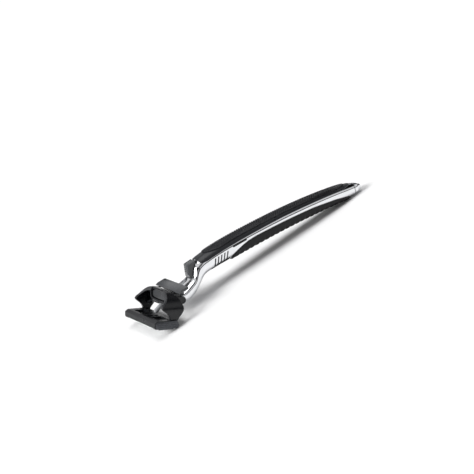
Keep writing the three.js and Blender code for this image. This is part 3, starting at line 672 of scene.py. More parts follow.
# %% Handle stations
NOSE_HALF_WIDTH = 9.1
NECK_HALF_WIDTH = NOSE_HALF_WIDTH - 0.5
GRIP_HALF_WIDTH = 6.25
GRIP_HALF_HEIGHT = 5.1
GRIP_REACH = 94.5
GRIP_RISE = 39.05
NECK_X = 23.1
NECK_Z = 12.0
TAIL_X = NECK_X + GRIP_REACH
STATIONS = [
    (9.5, -1.1, 8, NECK_HALF_WIDTH, 2.1, 3.4),
    (13.5, 0, 18, NECK_HALF_WIDTH - 0.2, 3.4, 3.2),
    (17.3, 3.3, 42, (NECK_HALF_WIDTH + GRIP_HALF_WIDTH) / 2, 3.3, 2.9),
    (20.1, 6.9, 52, GRIP_HALF_WIDTH + 0.2, 2.9, 2.7),
    (22.6, 12.6, 43, GRIP_HALF_WIDTH - 0.1, 4.4, 2.5),
]
GRIP_ROUNDNESS = 2.45
for part_x, part_z, tilt, part_w, part_h in (
    (0.058, 0.12, 33, 0.99, 0.94),
    (0.14, 0.222, 26.5, 1, 0.99),
    (0.2455, 0.3406, 24, 1, 1),
    (0.3725, 0.4738, 23, 0.99, 0.98),
    (0.5206, 0.6197, 21.5, 0.96, 0.94),
    (0.6688, 0.7529, 19.5, 0.93, 0.88),
    (0.8063, 0.8656, 17.5, 0.88, 0.8),
    (0.9122, 0.9424, 16, 0.8, 0.7),
    (0.9704, 0.9808, 15, 0.66, 0.56),
    (1, 1, 15, 0.4, 0.33),
):
    STATIONS.append((
        NECK_X + GRIP_REACH * part_x,
        NECK_Z + GRIP_RISE * part_z,
        tilt,
        GRIP_HALF_WIDTH * part_w,
        GRIP_HALF_HEIGHT * part_h,
        GRIP_ROUNDNESS,
    ))


def station(t):
    """x, z, tilt, half width, half height and roundness at a share t of the handle's length."""
    last = len(STATIONS) - 1
    place = min(max(t, 0), 1) * last
    i = min(int(place), last - 1)
    w = place - i
    b, c = STATIONS[i], STATIONS[i + 1]
    a = STATIONS[i - 1] if i > 0 else [2 * p - q for p, q in zip(b, c)]
    d = STATIONS[i + 2] if i + 2 <= last else [2 * q - p for p, q in zip(b, c)]
    out = []
    for p0, p1, p2, p3 in zip(a, b, c, d):
        t0, t1 = (p2 - p0) / 2, (p3 - p1) / 2
        out.append(
            p1 + t0 * w + (3 * (p2 - p1) - 2 * t0 - t1) * w**2 + (2 * (p1 - p2) + t0 + t1) * w**3
        )
    return out


FINE = 1200
TABLE = [station(i / FINE) for i in range(FINE + 1)]


def quick_station(t):
    """The same, read between two rows of a fine table."""
    place = min(max(t, 0), 1) * FINE
    i = min(int(place), FINE - 1)
    w = place - i
    return [p + (q - p) * w for p, q in zip(TABLE[i], TABLE[i + 1])]


def signed_power(value, exponent):
    return math.copysign(abs(value) ** exponent, value)


def skin_point(t, turn, grow):
    """A point of the skin, `grow` outside it, at an angle from the right-hand side up over the top."""
    x, z, tilt, wide, high, roundness = quick_station(t)
    tilt = math.radians(tilt)
    across = signed_power(math.cos(turn), 2 / roundness) * (wide + grow)
    up = signed_power(math.sin(turn), 2 / roundness) * (high + grow)
    return Vector((x - math.sin(tilt) * up, across, z + math.cos(tilt) * up))


def share_at(x):
    """The share of the length at which the spine has this x."""
    low, high = 0.0, 1.0
    for _ in range(22):
        middle = (low + high) / 2
        if quick_station(middle)[0] < x:
            low = middle
        else:
            high = middle
    return low


def turn_for_up(t, up):
    """The angle round the section at which the skin is `up` above the spine."""
    _, _, _, _, high, roundness = quick_station(t)
    share = max(-1.0, min(1.0, up / high))
    return math.asin(signed_power(share, roundness / 2))


def turn_for_side(t, y, grow):
    _, _, _, wide, _, roundness = quick_station(t)
    share = max(-1.0, min(1.0, y / (wide + grow)))
    return math.acos(signed_power(share, roundness / 2))


def along_line(line, x):
    """Reads a line of (x, value) pairs at x."""
    for (xa, va), (xb, vb) in zip(line, line[1:]):
        if x <= xb:
            w = min(1, max(0, (x - xa) / (xb - xa)))
            return va + (vb - va) * w
    return line[-1][1]


print("handle stations:", len(STATIONS))

# %% [markdown]
# The core of the handle is one zinc casting, polished and plated. It is lofted: a ring is drawn
# round the first section and extruded station by station, and each new ring is moved to its own
# section. In the top of the neck runs the channel that the button's tongue slides in. Each ring
# has its own points for the channel's two walls and its floor, so the walls come out straight.

# %% Plated core
CHANNEL_HALF = 3.7
CHANNEL_DEPTH = 2.0
CHANNEL_END_X = 20.6
TAIL_CUT_X = TAIL_X - 4.45
LOWER_POINTS = 33
SHOULDER_POINTS = 10
FLOOR_POINTS = 11


def top_x(t):
    x, _, tilt, _, high, _ = quick_station(t)
    return x - math.sin(math.radians(tilt)) * high


def core_ring(t, depth):
    """The points of one section of the core, in order round it."""
    x, z, tilt, wide, high, roundness = quick_station(t)
    half = min(CHANNEL_HALF, wide * 0.9)
    edge = turn_for_side(t, half, 0)
    points = []
    for i in range(LOWER_POINTS):
        turn = math.pi + math.pi * i / (LOWER_POINTS - 1)
        points.append(skin_point(t, turn, 0))
    for i in range(1, SHOULDER_POINTS + 1):
        points.append(skin_point(t, edge * i / SHOULDER_POINTS, 0))
    slope = math.radians(tilt)
    for i in range(FLOOR_POINTS):
        y = half - 2 * half * i / (FLOOR_POINTS - 1)
        up = high * (1 - (abs(y) / wide) ** roundness) ** (1 / roundness) - depth
        points.append(Vector((x - math.sin(slope) * up, y, z + math.cos(slope) * up)))
    for i in range(SHOULDER_POINTS, 0, -1):
        points.append(skin_point(t, math.pi - edge * i / SHOULDER_POINTS, 0))
    return points


def loft(rings, close_ends=True):
    """Extrudes a ring of edges from section to section; every section has as many points."""
    bm = bmesh.new()
    bmesh.ops.create_circle(bm, segments=len(rings[0]), radius=1)
    loop = list(bm.verts)
    for vert, point in zip(loop, rings[0]):
        vert.co = point
    edges = list(bm.edges)
    if close_ends:
        bm.faces.new(loop)
    for ring in rings[1:]:
        made = bmesh.ops.extrude_edge_only(bm, edges=edges)["geom"]
        new_verts = [v for v in made if isinstance(v, bmesh.types.BMVert)]
        edges = [e for e in made if isinstance(e, bmesh.types.BMEdge)]
        partner = {}
        for v in new_verts:
            for e in v.link_edges:
                other = e.other_vert(v)
                if other in loop:
                    partner[other] = v
        loop = [partner[v] for v in loop]
        for vert, point in zip(loop, ring):
            vert.co = point
        inner = set(loop)
        edges = [e for e in edges if e.verts[0] in inner and e.verts[1] in inner]
    if close_ends:
        bm.faces.new(loop)
    return bm


CHANNEL_STEPS = 34
GRIP_STEPS = 130
STEP_GROWTH = 1.2
channel_end = next(i / FINE for i in range(FINE + 1) if top_x(i / FINE) > CHANNEL_END_X)
tail_cut = share_at(TAIL_CUT_X)
core_steps = [(channel_end * i / CHANNEL_STEPS, CHANNEL_DEPTH) for i in range(CHANNEL_STEPS + 1)]
for i in range(GRIP_STEPS + 1):
    run = (i / GRIP_STEPS) ** STEP_GROWTH
    core_steps.append((channel_end + (tail_cut - channel_end) * run, 0.0))
core = loft([core_ring(t, depth) for t, depth in core_steps])
finish_piece(
    "plated_core", core, dock_place, "handle", ["handle_core"], chrome_plating, crease=40
)

# %% [markdown]
# The grips are shells that lie on the handle's skin. Each starts as a flat grid, whose first
# direction runs along the handle and whose second runs round it. The grid is extruded once for its
# thickness, and then every point is laid on the skin at its own height. The rim is rounded last,
# as a moulded edge is.

# %% Laying a shell on the skin


def skin_shell(along_count, round_count, placer, rim=0.25):
    """Lays a grid: placer(s, v, w) places point s (0 to 1 along), v (-1 to 1 round), w (0 top, 1 under)."""
    bm = bmesh.new()
    bmesh.ops.create_grid(bm, x_segments=along_count, y_segments=round_count, size=1)
    top = list(bm.faces)
    made = bmesh.ops.extrude_face_region(bm, geom=top)["geom"]
    under = {v for v in made if isinstance(v, bmesh.types.BMVert)}
    for vert in bm.verts:
        s, v = (vert.co.x + 1) / 2, vert.co.y
        vert.co = placer(s, v, 1 if vert in under else 0)
    bmesh.ops.recalc_face_normals(bm, faces=bm.faces)
    if rim:
        side_faces = [f for f in bm.faces if len({v in under for v in f.verts}) == 2]
        edges = {e for f in side_faces for e in f.edges if not any(v in under for v in e.verts)}
        soften(bm, edges, rim, 3)
    return bm


def share_for_front_view(x, turn_of, grow):
    """The share of the length at which a skin point has this x itself, found by halving."""
    low, high = 0.0, 1.0
    for _ in range(16):
        middle = (low + high) / 2
        if skin_point(middle, turn_of(middle), grow).x < x:
            low = middle
        else:
            high = middle
    return low


print("shell helper ready")

# %% [markdown]
# The bezel is the satin grey moulding that frames the top grip. It wraps over the widest part of the handle, and
# its front is blunt, with a lower edge that drops back along the side. Its rim is rounded, and the finish paints
# that edge a little lighter, partly for rubbing and partly as a painted highlight.

# %% Grip bezel
BEZEL_FRONT = 20.9
BEZEL_TAIL = TAIL_X - 6.5
BEZEL_GROW = 0.35
BEZEL_ROUND = 3.0
BEZEL_EDGE = [
    (BEZEL_FRONT, 3.8), (22.6, 3.2), (24, 2.4), (26.5, 1.8), (30, 1.8), (45, 2.1), (70, 2.3),
    (BEZEL_TAIL - 8, 2.1), (BEZEL_TAIL, 2.6),
]
SHELL_DEPTH = 1.0


def blunt(v, reach, power=2.3):
    """How far an outline's end has curved back at a share v of its half width."""
    return reach * (1 - (1 - abs(v) ** power) ** (1 / power))


def bezel_place(s, v, w):
    x = (BEZEL_FRONT + blunt(0.96 * v, BEZEL_ROUND)) * (1 - s) + (BEZEL_TAIL - blunt(0.96 * v, 9)) * s
    grow = -SHELL_DEPTH if w else BEZEL_GROW

    def turn_of(t):
        low = turn_for_up(t, along_line(BEZEL_EDGE, quick_station(t)[0]))
        return math.pi / 2 - v * (math.pi / 2 - low)

    t = share_for_front_view(x, turn_of, grow)
    return skin_point(t, turn_of(t), grow)


bezel = skin_shell(150, 40, bezel_place, rim=0.3)
finish_piece("bezel_moulding", bezel, dock_place, "handle", ["grip_bezel"], satin_grey)

# %% [markdown]
# The top pad is soft rubber with slanting ribs. Ribs this size catch the light and can be felt, so
# they are real relief in the mesh. Each grid point sinks by a wave that runs at a slant to the
# handle, and the wave fades out towards the smooth rim.

# %% Ribbed top pad
PAD_FRONT = 25.4
PAD_TAIL = TAIL_X - 9.5
PAD_HALF = GRIP_HALF_WIDTH - 1.5
PAD_GROW = 0.8
RIB_PITCH = 1.25
RIB_DEPTH = 0.42
RIB_SLANT = 0.55


def pad_place(s, v, w):
    x = (PAD_FRONT + blunt(0.985 * v, 9, 2.1)) * (1 - s) + (PAD_TAIL - blunt(0.985 * v, 12, 2)) * s
    half = PAD_HALF * (1 - 0.14 * s)
    wave = 0.5 - 0.5 * math.cos(2 * math.pi * (x + RIB_SLANT * v * half) / RIB_PITCH)
    fade = min(1, 5 * (1 - abs(v))) * min(1, 12 * s) * min(1, 12 * (1 - s))
    grow = -SHELL_DEPTH if w else PAD_GROW - RIB_DEPTH * wave**2 * fade

    def turn_of(t):
        return turn_for_side(t, -v * half, 0)

    t = share_for_front_view(x, turn_of, 0)
    return skin_point(t, turn_of(t), grow)


pad = skin_shell(400, 26, pad_place, rim=0.3)
finish_piece("ribbed_pad", pad, dock_place, "handle", ["top_grip_pad"], pad_rubber, crease=60)

# %% [markdown]
# The belly grip wraps the underside from one flank to the other. Its front is a narrow tongue under
# the rails, and it rises up the flanks further back. Fingers curl round it, so its underside is a
# row of shallow scallops.

# %% Scalloped belly grip
BELLY_FRONT = 38.4
BELLY_TAIL = TAIL_X - 8
BELLY_GROW = 0.8
BELLY_EDGE = [
    (BELLY_FRONT, -3.9), (40, -3), (42.6, -1.8), (45.8, -0.8), (49.2, -0.1), (54, 0.2),
    (BELLY_TAIL - 22, -0.2), (BELLY_TAIL - 8, -1.2), (BELLY_TAIL, -2.6),
]
SCALLOP_PITCH = 3.0
SCALLOP_DEPTH = 0.5


def belly_place(s, v, w):
    t = share_at(BELLY_FRONT * (1 - s) + BELLY_TAIL * s)
    x = quick_station(t)[0]
    edge = turn_for_up(t, along_line(BELLY_EDGE, x))
    turn = -math.pi / 2 - v * (math.pi / 2 + edge)
    wave = 0.5 - 0.5 * math.cos(2 * math.pi * (x - BELLY_FRONT) / SCALLOP_PITCH)
    below = max(0.0, -math.sin(turn)) ** 2
    fade = min(1, 10 * s) * min(1, 8 * (1 - s)) * min(1, 4 * (1 - abs(v)))
    grow = -SHELL_DEPTH if w else BELLY_GROW - SCALLOP_DEPTH * wave**3 * below * fade
    return skin_point(t, turn, grow)


belly = skin_shell(260, 34, belly_place, rim=0.35)
finish_piece(
    "belly_moulding", belly, dock_place, "handle", ["belly_grip"], belly_rubber, crease=60
)

# %% [markdown]
# Each flank carries two inlays of black rubber: a thin strip high on the bright rail, and ahead of
# it a comb of slanted bars that share one base. They lie almost flush, so they stand just proud of
# the plating and read as dark gaps between bright teeth.

# %% Rail strips and side combs
STRIP_FRONT = 40.4
STRIP_LENGTH = 8.0
STRIP_UP = 1.0
STRIP_HALF = 0.42
COMB_BARS = 5
COMB_PITCH = 1.75
COMB_BAR = 0.7
COMB_FRONT = 29.3
COMB_LOW = -3.0
COMB_TALL = 4.3
COMB_LEAN = 0.5
COMB_RUN_IN = 3.0
INLAY_GROW = 0.1
INLAY_DEPTH = 0.6


def flank_point(x, up, w, side):
    """A point of an inlay on one flank: side is -1 for left and 1 for right."""
    t = share_at(x)
    turn = turn_for_up(t, up)
    point = skin_point(t, turn, -INLAY_DEPTH if w else INLAY_GROW)
    point.y = abs(point.y) * side
    return point


def strip_place(side):
    def place(s, v, w):
        bow = STRIP_HALF * (1 - math.sqrt(1 - min(0.98, abs(v)) ** 2))
        x = STRIP_FRONT + bow + (STRIP_LENGTH - 2 * bow) * s
        return flank_point(x, STRIP_UP + v * STRIP_HALF, w, side)

    return place


def comb_base_place(side):
    def place(s, v, w):
        x = COMB_FRONT - COMB_RUN_IN + (COMB_PITCH * (COMB_BARS - 1) + 1 + COMB_RUN_IN) * s
        return flank_point(x, COMB_LOW - 0.7 + v * 0.75 * min(1, 0.25 + 3 * s), w, side)

    return place


def comb_bar_place(side, number):
    def place(s, v, w):
        up = COMB_LOW + COMB_TALL / 2 - 0.5 + v * COMB_TALL / 2 * math.cos(COMB_LEAN)
        shift = v * COMB_TALL / 2 * math.sin(COMB_LEAN)
        x = COMB_FRONT + number * COMB_PITCH + shift + (s - 0.5) * COMB_BAR
        return flank_point(x, up, w, side)

    return place


for side_name, side in (("left", -1), ("right", 1)):
    strip = skin_shell(24, 4, strip_place(side), rim=0.08)
    finish_piece(
        "slot_strip_" + side_name, strip, dock_place, "handle",
        ["rail_strip_" + side_name], trim_black,
    )
    comb = skin_shell(24, 2, comb_base_place(side), rim=0.1)
    for number in range(COMB_BARS):
        join(comb, skin_shell(2, 14, comb_bar_place(side, number), rim=0.1))
    finish_piece(
        "rubber_comb_" + side_name, comb, dock_place, "handle",
        ["side_comb_" + side_name], belly_rubber,
    )

# %% [markdown]
# The tail cap closes the casting. It is plated like the core, with a fine seam between the two, and
# ends in a small rounded tip. The loft goes on past the last station with rings that shrink along a
# quarter circle.

# %% Tail cap
CAP_FRONT = TAIL_X - 4.2
CAP_GROW = 0.1
CAP_POINTS = 64
CAP_SEAT = 0.96
CAP_STEPS = 20
TIP_RINGS = 6
TIP_LENGTH = 0.5


def cap_ring(t, scale=1.0, push=0.0):
    x, z, tilt, _, _, _ = quick_station(t)
    tilt = math.radians(tilt)
    middle = Vector((x, 0, z))
    ahead = Vector((math.cos(tilt), 0, math.sin(tilt))) * push
    ring = []
    for i in range(CAP_POINTS):
        point = skin_point(t, 2 * math.pi * i / CAP_POINTS, CAP_GROW)
        ring.append(middle + (point - middle) * scale + ahead)
    return ring


cap_start = share_at(CAP_FRONT)
cap_rings = [cap_ring(cap_start, CAP_SEAT)]
cap_rings += [cap_ring(cap_start + (1 - cap_start) * (i / CAP_STEPS)) for i in range(CAP_STEPS + 1)]
for step in range(1, TIP_RINGS + 1):
    angle = math.pi / 2 * step / (TIP_RINGS + 0.5)
    cap_rings.append(cap_ring(1, math.cos(angle), TIP_LENGTH * math.sin(angle)))
finish_piece(
    "tail_plug", loft(cap_rings), dock_place, "handle", ["tail_cap"], chrome_plating
)

# %% [markdown]
# The release button has three parts: a wide wing that pushes the yoke off the nose, a tongue that
# slides in the neck's channel, and a raised tab for the thumb with a few grip ridges. All three are
# plates with rounded rims. The wing and the tab are grey plastic. The tongue between them is bright
# and goes on the line of the plated neck, so it is a piece of its own.

# %% Release button
BUTTON_HALF = 15.0
TAB_HALF = 3.0
TONGUE_HALF = 3.4
TONGUE_TOP = 0.6
TONGUE_THICK = 1.1
WING_OUTLINE = [
    (4.9, 3), (5.3, 2.55), (7, 2.6), (10.7, 4.8), (10.9, 5.5), (10.4, 6.1), (9.5, 5.8), (6.2, 4.1),
]
TAB_OUTLINE = [
    (15.7, 15), (19.8, 17.3), (20.3, 12), (19.4, 9.2), (17.6, 7.6), (16.8, 8.6), (16.5, 10),
]


TONGUE_STEPS = 14


def under_top(depth, start, end):
    """A line a set depth below the top of the neck, between two stations."""
    line = []
    for i in range(TONGUE_STEPS + 1):
        t = (start + (end - start) * i / TONGUE_STEPS) / (len(STATIONS) - 1)
        x, z, tilt, _, high, _ = quick_station(t)
        tilt = math.radians(tilt)
        line.append((x - math.sin(tilt) * (high - depth), z + math.cos(tilt) * (high - depth)))
    return line


tongue_outline = [(8.6, 3.5), (10.4, 2.8)]
tongue_outline += under_top(TONGUE_TOP + TONGUE_THICK, 1, 3.15)
tongue_outline += list(reversed(under_top(TONGUE_TOP, 0.95, 3.3)))
tongue_outline += [(11.4, 3.5), (10.9, 5.2), (10, 5.2)]
button = plate(WING_OUTLINE, -BUTTON_HALF, BUTTON_HALF, rim=0.28, segments=4)
join(button, plate(TAB_OUTLINE, -TAB_HALF, TAB_HALF, rim=0.3, segments=4))
RIDGES = 4
RIDGE_HALF = TAB_HALF - 0.6
(tab_top_x, tab_top_z), (tab_low_x, tab_low_z) = TAB_OUTLINE[0], TAB_OUTLINE[-1]
for number in range(RIDGES):
    share = (number + 1) / (RIDGES + 1)
    x = tab_top_x + (tab_low_x - tab_top_x) * share
    z = tab_top_z + (tab_low_z - tab_top_z) * share
    join(button, block((x - 0.22, -RIDGE_HALF, z - 0.25), (x + 0.3, RIDGE_HALF, z + 0.25), rim=0.12))
finish_piece(
    "button_moulding", button, dock_place, "release_button", ["release_button"], button_grey
)
tongue = plate(tongue_outline, -TONGUE_HALF, TONGUE_HALF, rim=0.15)
finish_piece(
    "button_tongue", tongue, dock_place, "release_button", ["release_button"],
    chrome_plating,
)

# %% [markdown]
# The docking nose is the plug that the yoke slips over. It is a flat rounded bar with a narrower
# root that is pinned into the neck. Rings of a rounded slot, a little smaller at the front, give it
# the lead-in chamfer that guides the yoke on. Each flat end is inset and given a middle point, so
# that it isn't cut into long thin triangles.

# %% Docking nose


def slot_ring(half_wide, half_high, x, roundness=4.5, count=96):
    """A ring of points round a rounded slot that faces along the dock axis."""
    ring = []
    for i in range(count):
        turn = 2 * math.pi * i / count
        y = signed_power(math.cos(turn), 2 / roundness) * half_wide
        z = signed_power(math.sin(turn), 2 / roundness) * half_high
        ring.append(Vector((x, y, z)))
    return ring


NOSE_HALF_HEIGHT = 2.2
nose_sections = [
    (0.9, 0.8), (0.9, 0.45), (1.0, 0.2), (1.3, 0.03), (1.7, 0), (8.45, 0), (8.75, 0.12), (8.85, 0.35),
]
nose = loft([slot_ring(NOSE_HALF_WIDTH - cut, NOSE_HALF_HEIGHT - cut, x) for x, cut in nose_sections])
flat_ends = [f for f in nose.faces if len(f.verts) > 4]
bmesh.ops.inset_individual(nose, faces=flat_ends, thickness=0.25)
bmesh.ops.poke(nose, faces=flat_ends)
join(nose, block((8.4, -5.6, -2.0), (13.2, 5.6, 0.2), rim=0.2, corner=0.6, corner_axis=0))
finish_piece("nose_moulding", nose, dock_place, "handle", ["docking_nose"], nose_plastic)

# %% [markdown]
# A small spring plunger leans out of the nose and presses the back of the blade unit, which is what
# swings the blades back to rest. It is a turned pin with a round tip, so its half outline is spun
# once round its own axis.

# %% Plunger
PLUNGER_RADIUS = 1.2
PLUNGER_TILT = math.radians(45)
PLUNGER_ENTRY = Vector((4.9, 0, -NOSE_HALF_HEIGHT))
PLUNGER_TAIL = 1.1
PLUNGER_LIP = 0.15
UNIT_HEIGHT = 4.3
TIP_GAP = 0.35
TIP_DROP = DOCK_IN_UNIT.z - UNIT_HEIGHT - NOSE_HALF_HEIGHT - PLUNGER_RADIUS - TIP_GAP
TIP_STEPS = 8


def plunger_mesh():
    reach = TIP_DROP / math.sin(PLUNGER_TILT)
    outline = [(0, -PLUNGER_TAIL), (PLUNGER_RADIUS - PLUNGER_LIP, -PLUNGER_TAIL)]
    outline.append((PLUNGER_RADIUS, PLUNGER_LIP - PLUNGER_TAIL))
    for i in range(TIP_STEPS + 1):
        turn = math.pi / 2 * i / TIP_STEPS
        outline.append((PLUNGER_RADIUS * math.cos(turn), reach + PLUNGER_RADIUS * math.sin(turn)))
    bm = bmesh.new()
    verts = [bm.verts.new((max(0, radius), 0, along)) for radius, along in outline]
    edges = [bm.edges.new(pair) for pair in zip(verts, verts[1:])]
    bmesh.ops.spin(
        bm, geom=verts + edges, axis=(0, 0, 1), cent=(0, 0, 0), angle=2 * math.pi, steps=40, use_merge=True
    )
    out = Vector((-math.cos(PLUNGER_TILT), 0, -math.sin(PLUNGER_TILT)))
    aim = out.to_track_quat("Z", "Y").to_matrix().to_4x4()
    bmesh.ops.transform(bm, matrix=Matrix.Translation(PLUNGER_ENTRY) @ aim, verts=bm.verts)
    return bm


finish_piece(
    "plunger_pin", plunger_mesh(), dock_place, "plunger", ["plunger"], plunger_plastic
)

# %% [markdown]
# The yoke is the cradle that carries the blade unit. Its hub is a sleeve over the nose: a ring
# extruded along the outside and back along the inside gives it an even wall with rounded lips. The
# rear lip is cut away at the top, where the button's wing pushes, and notched below for the plunger.

# %% Yoke hub
HUB_DEPTH = 5.8
HUB_WALL = 1.25
SLIP = 0.3
HUB_HALF_WIDE = NOSE_HALF_WIDTH + SLIP + HUB_WALL
HUB_HALF_HIGH = NOSE_HALF_HEIGHT + SLIP + HUB_WALL
HUB_POINTS = 160
PUSH_CUT = 3.6
SLOT_FRONT = 0.6


def hub_ring(x, inset):
    ring = slot_ring(HUB_HALF_WIDE - inset, HUB_HALF_HIGH - inset, x, 4.2, HUB_POINTS)
    for point in ring:
        limit = HUB_DEPTH
        if point.z > 1.5 and abs(point.y) < HUB_HALF_WIDE - 1.2:
            limit = HUB_DEPTH - PUSH_CUT
        if point.z < 0 and abs(point.y) < PLUNGER_RADIUS + SLIP + 0.15:
            limit = SLOT_FRONT
        point.x = x * limit / HUB_DEPTH if limit < HUB_DEPTH else x
    return ring


hub_sections = [
    (0.35, 0), (5.5, 0), (5.72, 0.1), (HUB_DEPTH, 0.32), (HUB_DEPTH, HUB_WALL - 0.3), (5.7, HUB_WALL - 0.08),
    (5.5, HUB_WALL), (0.35, HUB_WALL), (0.1, HUB_WALL - 0.08), (0, HUB_WALL - 0.3), (0, 0.32), (0.1, 0.1),
]


def sleeve(rings):
    """Extrudes a ring through every section and back to the first, where the two ends are merged."""
    bm = loft(rings + rings[:1], close_ends=False)
    bmesh.ops.remove_doubles(bm, verts=bm.verts, dist=1e-4)
    return bm


yoke = sleeve([hub_ring(x, inset) for x, inset in hub_sections])
print("hub faces:", len(yoke.faces))

# %% [markdown]
# Two arms spread from the hub, curve over the ends of the blades and come down to the pivot pins.
# Each is a broad curved sheet, wide in the middle and narrow at the foot. A grid is laid between
# its outer and inner curves, as the grips were laid on the handle.

# %% Yoke arms, ears, web and pins
PIVOT = PIVOT_IN_UNIT - DOCK_IN_UNIT
ARM_OUT = 19.4
ARM_IN = 17.5
ARM_TOP = HUB_HALF_HIGH - 0.2
FOOT_LOW = PIVOT.z - 1.5
PIN_RADIUS = 1.15
ARM_ROOT = HUB_HALF_WIDE - 3.4
ARM_OUTER = [
    (ARM_ROOT, ARM_TOP), (ARM_OUT - 4, ARM_TOP - 0.3), (ARM_OUT, PIVOT.z + 9.5), (ARM_OUT, PIVOT.z + 4.5),
]
ARM_INNER = [
    (ARM_ROOT, ARM_TOP - 2), (ARM_OUT - 5, ARM_TOP - 2), (ARM_IN, PIVOT.z + 8.5), (ARM_IN, PIVOT.z + 4),
]
ARM_FRONT_EDGE = [
    (FOOT_LOW, PIVOT.x - 1.1), (PIVOT.z - 0.7, PIVOT.x - 1.6), (PIVOT.z + 3.5, PIVOT.x - 2.1),
    (PIVOT.z + 6.9, -5.9), (PIVOT.z + 7.4, -6.2), (PIVOT.z + 9.4, -3.2), (ARM_TOP, 0.1),
]
ARM_BACK_EDGE = [
    (FOOT_LOW, PIVOT.x + 1.1), (PIVOT.z - 0.7, PIVOT.x + 1.6), (PIVOT.z + 1.2, PIVOT.x + 2),
    (PIVOT.z + 5.2, PIVOT.x + 5.4), (PIVOT.z + 7.6, PIVOT.x + 5.8), (-1, PIVOT.x + 4.6), (1.2, 5.2),
    (2.2, 2.4), (ARM_TOP, 2.2),
]
CURVE_SHARE = 0.76


def bezier(points, t):
    a, b, c, d = (Vector(p) for p in points)
    return a * (1 - t) ** 3 + b * 3 * t * (1 - t) ** 2 + c * 3 * t**2 * (1 - t) + d * t**3


def eased(line, value):
    """The mean of a line of pairs over a short stretch, which rounds its corners."""
    offsets = (-1.2, -0.6, 0, 0.6, 1.2)
    return sum(along_line(line, max(line[0][0], min(line[-1][0], value + o))) for o in offsets) / len(offsets)


def arm_place(side):
    def place(s, v, w):
        curve = ARM_INNER if w else ARM_OUTER
        if s < CURVE_SHARE:
            point = bezier(curve, s / CURVE_SHARE)
        else:
            point = Vector(curve[3])
            point.y += (FOOT_LOW - point.y) * (s - CURVE_SHARE) / (1 - CURVE_SHARE)
        front_x = eased(ARM_FRONT_EDGE, point.y)
        back_x = eased(ARM_BACK_EDGE, point.y)
        return Vector((front_x + (back_x - front_x) * (v + 1) / 2, side * point.x, point.y))

    return place


def pivot_pin(side):
    bm = bmesh.new()
    made = bmesh.ops.create_cone(
        bm, cap_ends=True, segments=36, radius1=PIN_RADIUS, radius2=PIN_RADIUS, depth=2.2
    )
    bmesh.ops.rotate(bm, matrix=Matrix.Rotation(math.pi / 2, 3, "X"), cent=(0, 0, 0), verts=made["verts"])
    bmesh.ops.translate(bm, vec=(PIVOT.x, side * (ARM_IN - 0.6), PIVOT.z), verts=bm.verts)
    soften(bm, sharp_edges(bm, 50), 0.15, 2)
    return bm


EAR_LOW = (4.1, -3.6)
EAR_HIGH = (11.3, 0.4)
WEB_LOW = -HUB_HALF_HIGH - 1
WEB_HIGH = -HUB_HALF_HIGH + 0.6
WEB_OUTLINE = [
    (1.9, WEB_HIGH), (1.9, WEB_LOW), (HUB_HALF_WIDE, WEB_LOW), (ARM_IN - 0.4, PIVOT.z + 4),
    (ARM_IN - 0.4, PIVOT.z + 5.4), (HUB_HALF_WIDE - 1, WEB_HIGH),
]
for side in (-1, 1):
    join(yoke, skin_shell(72, 16, arm_place(side), rim=0.35))
    join(yoke, pivot_pin(side))
    ear_out, ear_in = side * HUB_HALF_WIDE, side * (HUB_HALF_WIDE - HUB_WALL + 0.1)
    ear = block(
        (EAR_LOW[0], min(ear_out, ear_in), EAR_LOW[1]),
        (EAR_HIGH[0], max(ear_out, ear_in), EAR_HIGH[1]),
        rim=0.25, corner=1.98,
    )
    join(yoke, ear)
    web = plate(WEB_OUTLINE, 1, 5, rim=0.25)
    turn_front = Matrix.Rotation(-math.pi / 2, 4, "Z")
    bmesh.ops.transform(web, matrix=Matrix.Scale(-side, 4, (0, 1, 0)) @ turn_front, verts=web.verts)
    bmesh.ops.recalc_face_normals(web, faces=web.faces)
    join(yoke, web)
finish_piece("yoke_moulding", yoke, dock_place, "yoke", ["yoke"], yoke_plastic, crease=42)

# %% [markdown]
# The housing of the blade unit is a moulded frame with windows that rinse water runs through. Its
# solid already has the right openings, so the piece is a merged copy of it: flat faces are
# rejoined, and a live bevel rounds every edge a little.

# %% Blade unit housing


def merged_copy(node):
    """The faces of a solid's mesh, with doubles merged and flat stretches rejoined, still in metres."""
    bm = bmesh.new()
    bm.from_mesh(frame["nodes"][node].data)
    bmesh.ops.remove_doubles(bm, verts=bm.verts, dist=1e-6)
    bmesh.ops.dissolve_limit(
        bm, angle_limit=math.radians(1), verts=bm.verts, edges=bm.edges, use_dissolve_boundaries=False
    )
    return bm


housing = merged_copy("unit_housing")
bmesh.ops.transform(housing, matrix=unit_place.inverted(), verts=housing.verts)
finish_piece(
    "housing_moulding", housing, unit_place, "blade_unit", ["unit_housing"], head_plastic,
    crease=30, live_bevel=0.16,
)

# %% [markdown]
# Ahead of the blades, soft fins stretch the skin, and behind them the comfort strip glides over it.
# Both are long mouldings with one section from end to end, so each is a plate drawn from the side.
# The fins' tips are rounded, because skin rides over them.

# %% Guard fins and comfort strip
WINDOW_GUARD = 2.9
WINDOW_CAP = -4.0
GUARD_WALL = 0.55
UNIT_FRONT = 6.5
GUARD_IN = WINDOW_GUARD + GUARD_WALL
GUARD_OUT = UNIT_FRONT - GUARD_WALL
GUARD_HALF = ARM_IN - 0.9
FINS = 5
FIN_SECTION = [(0.42, 0.4), (0.24, -0.02), (0.1, -0.12), (-0.1, -0.12), (-0.24, -0.02), (-0.42, 0.4)]


def fin_outline():
    pitch = (GUARD_OUT - GUARD_IN) / FINS
    line = [(GUARD_OUT, 1), (GUARD_OUT, 0.45)]
    for number in reversed(range(FINS)):
        middle = GUARD_IN + pitch * (number + 0.5)
        line += [(middle + x * pitch, z) for x, z in FIN_SECTION]
    line += [(GUARD_IN, 0.45), (GUARD_IN, 1)]
    return line


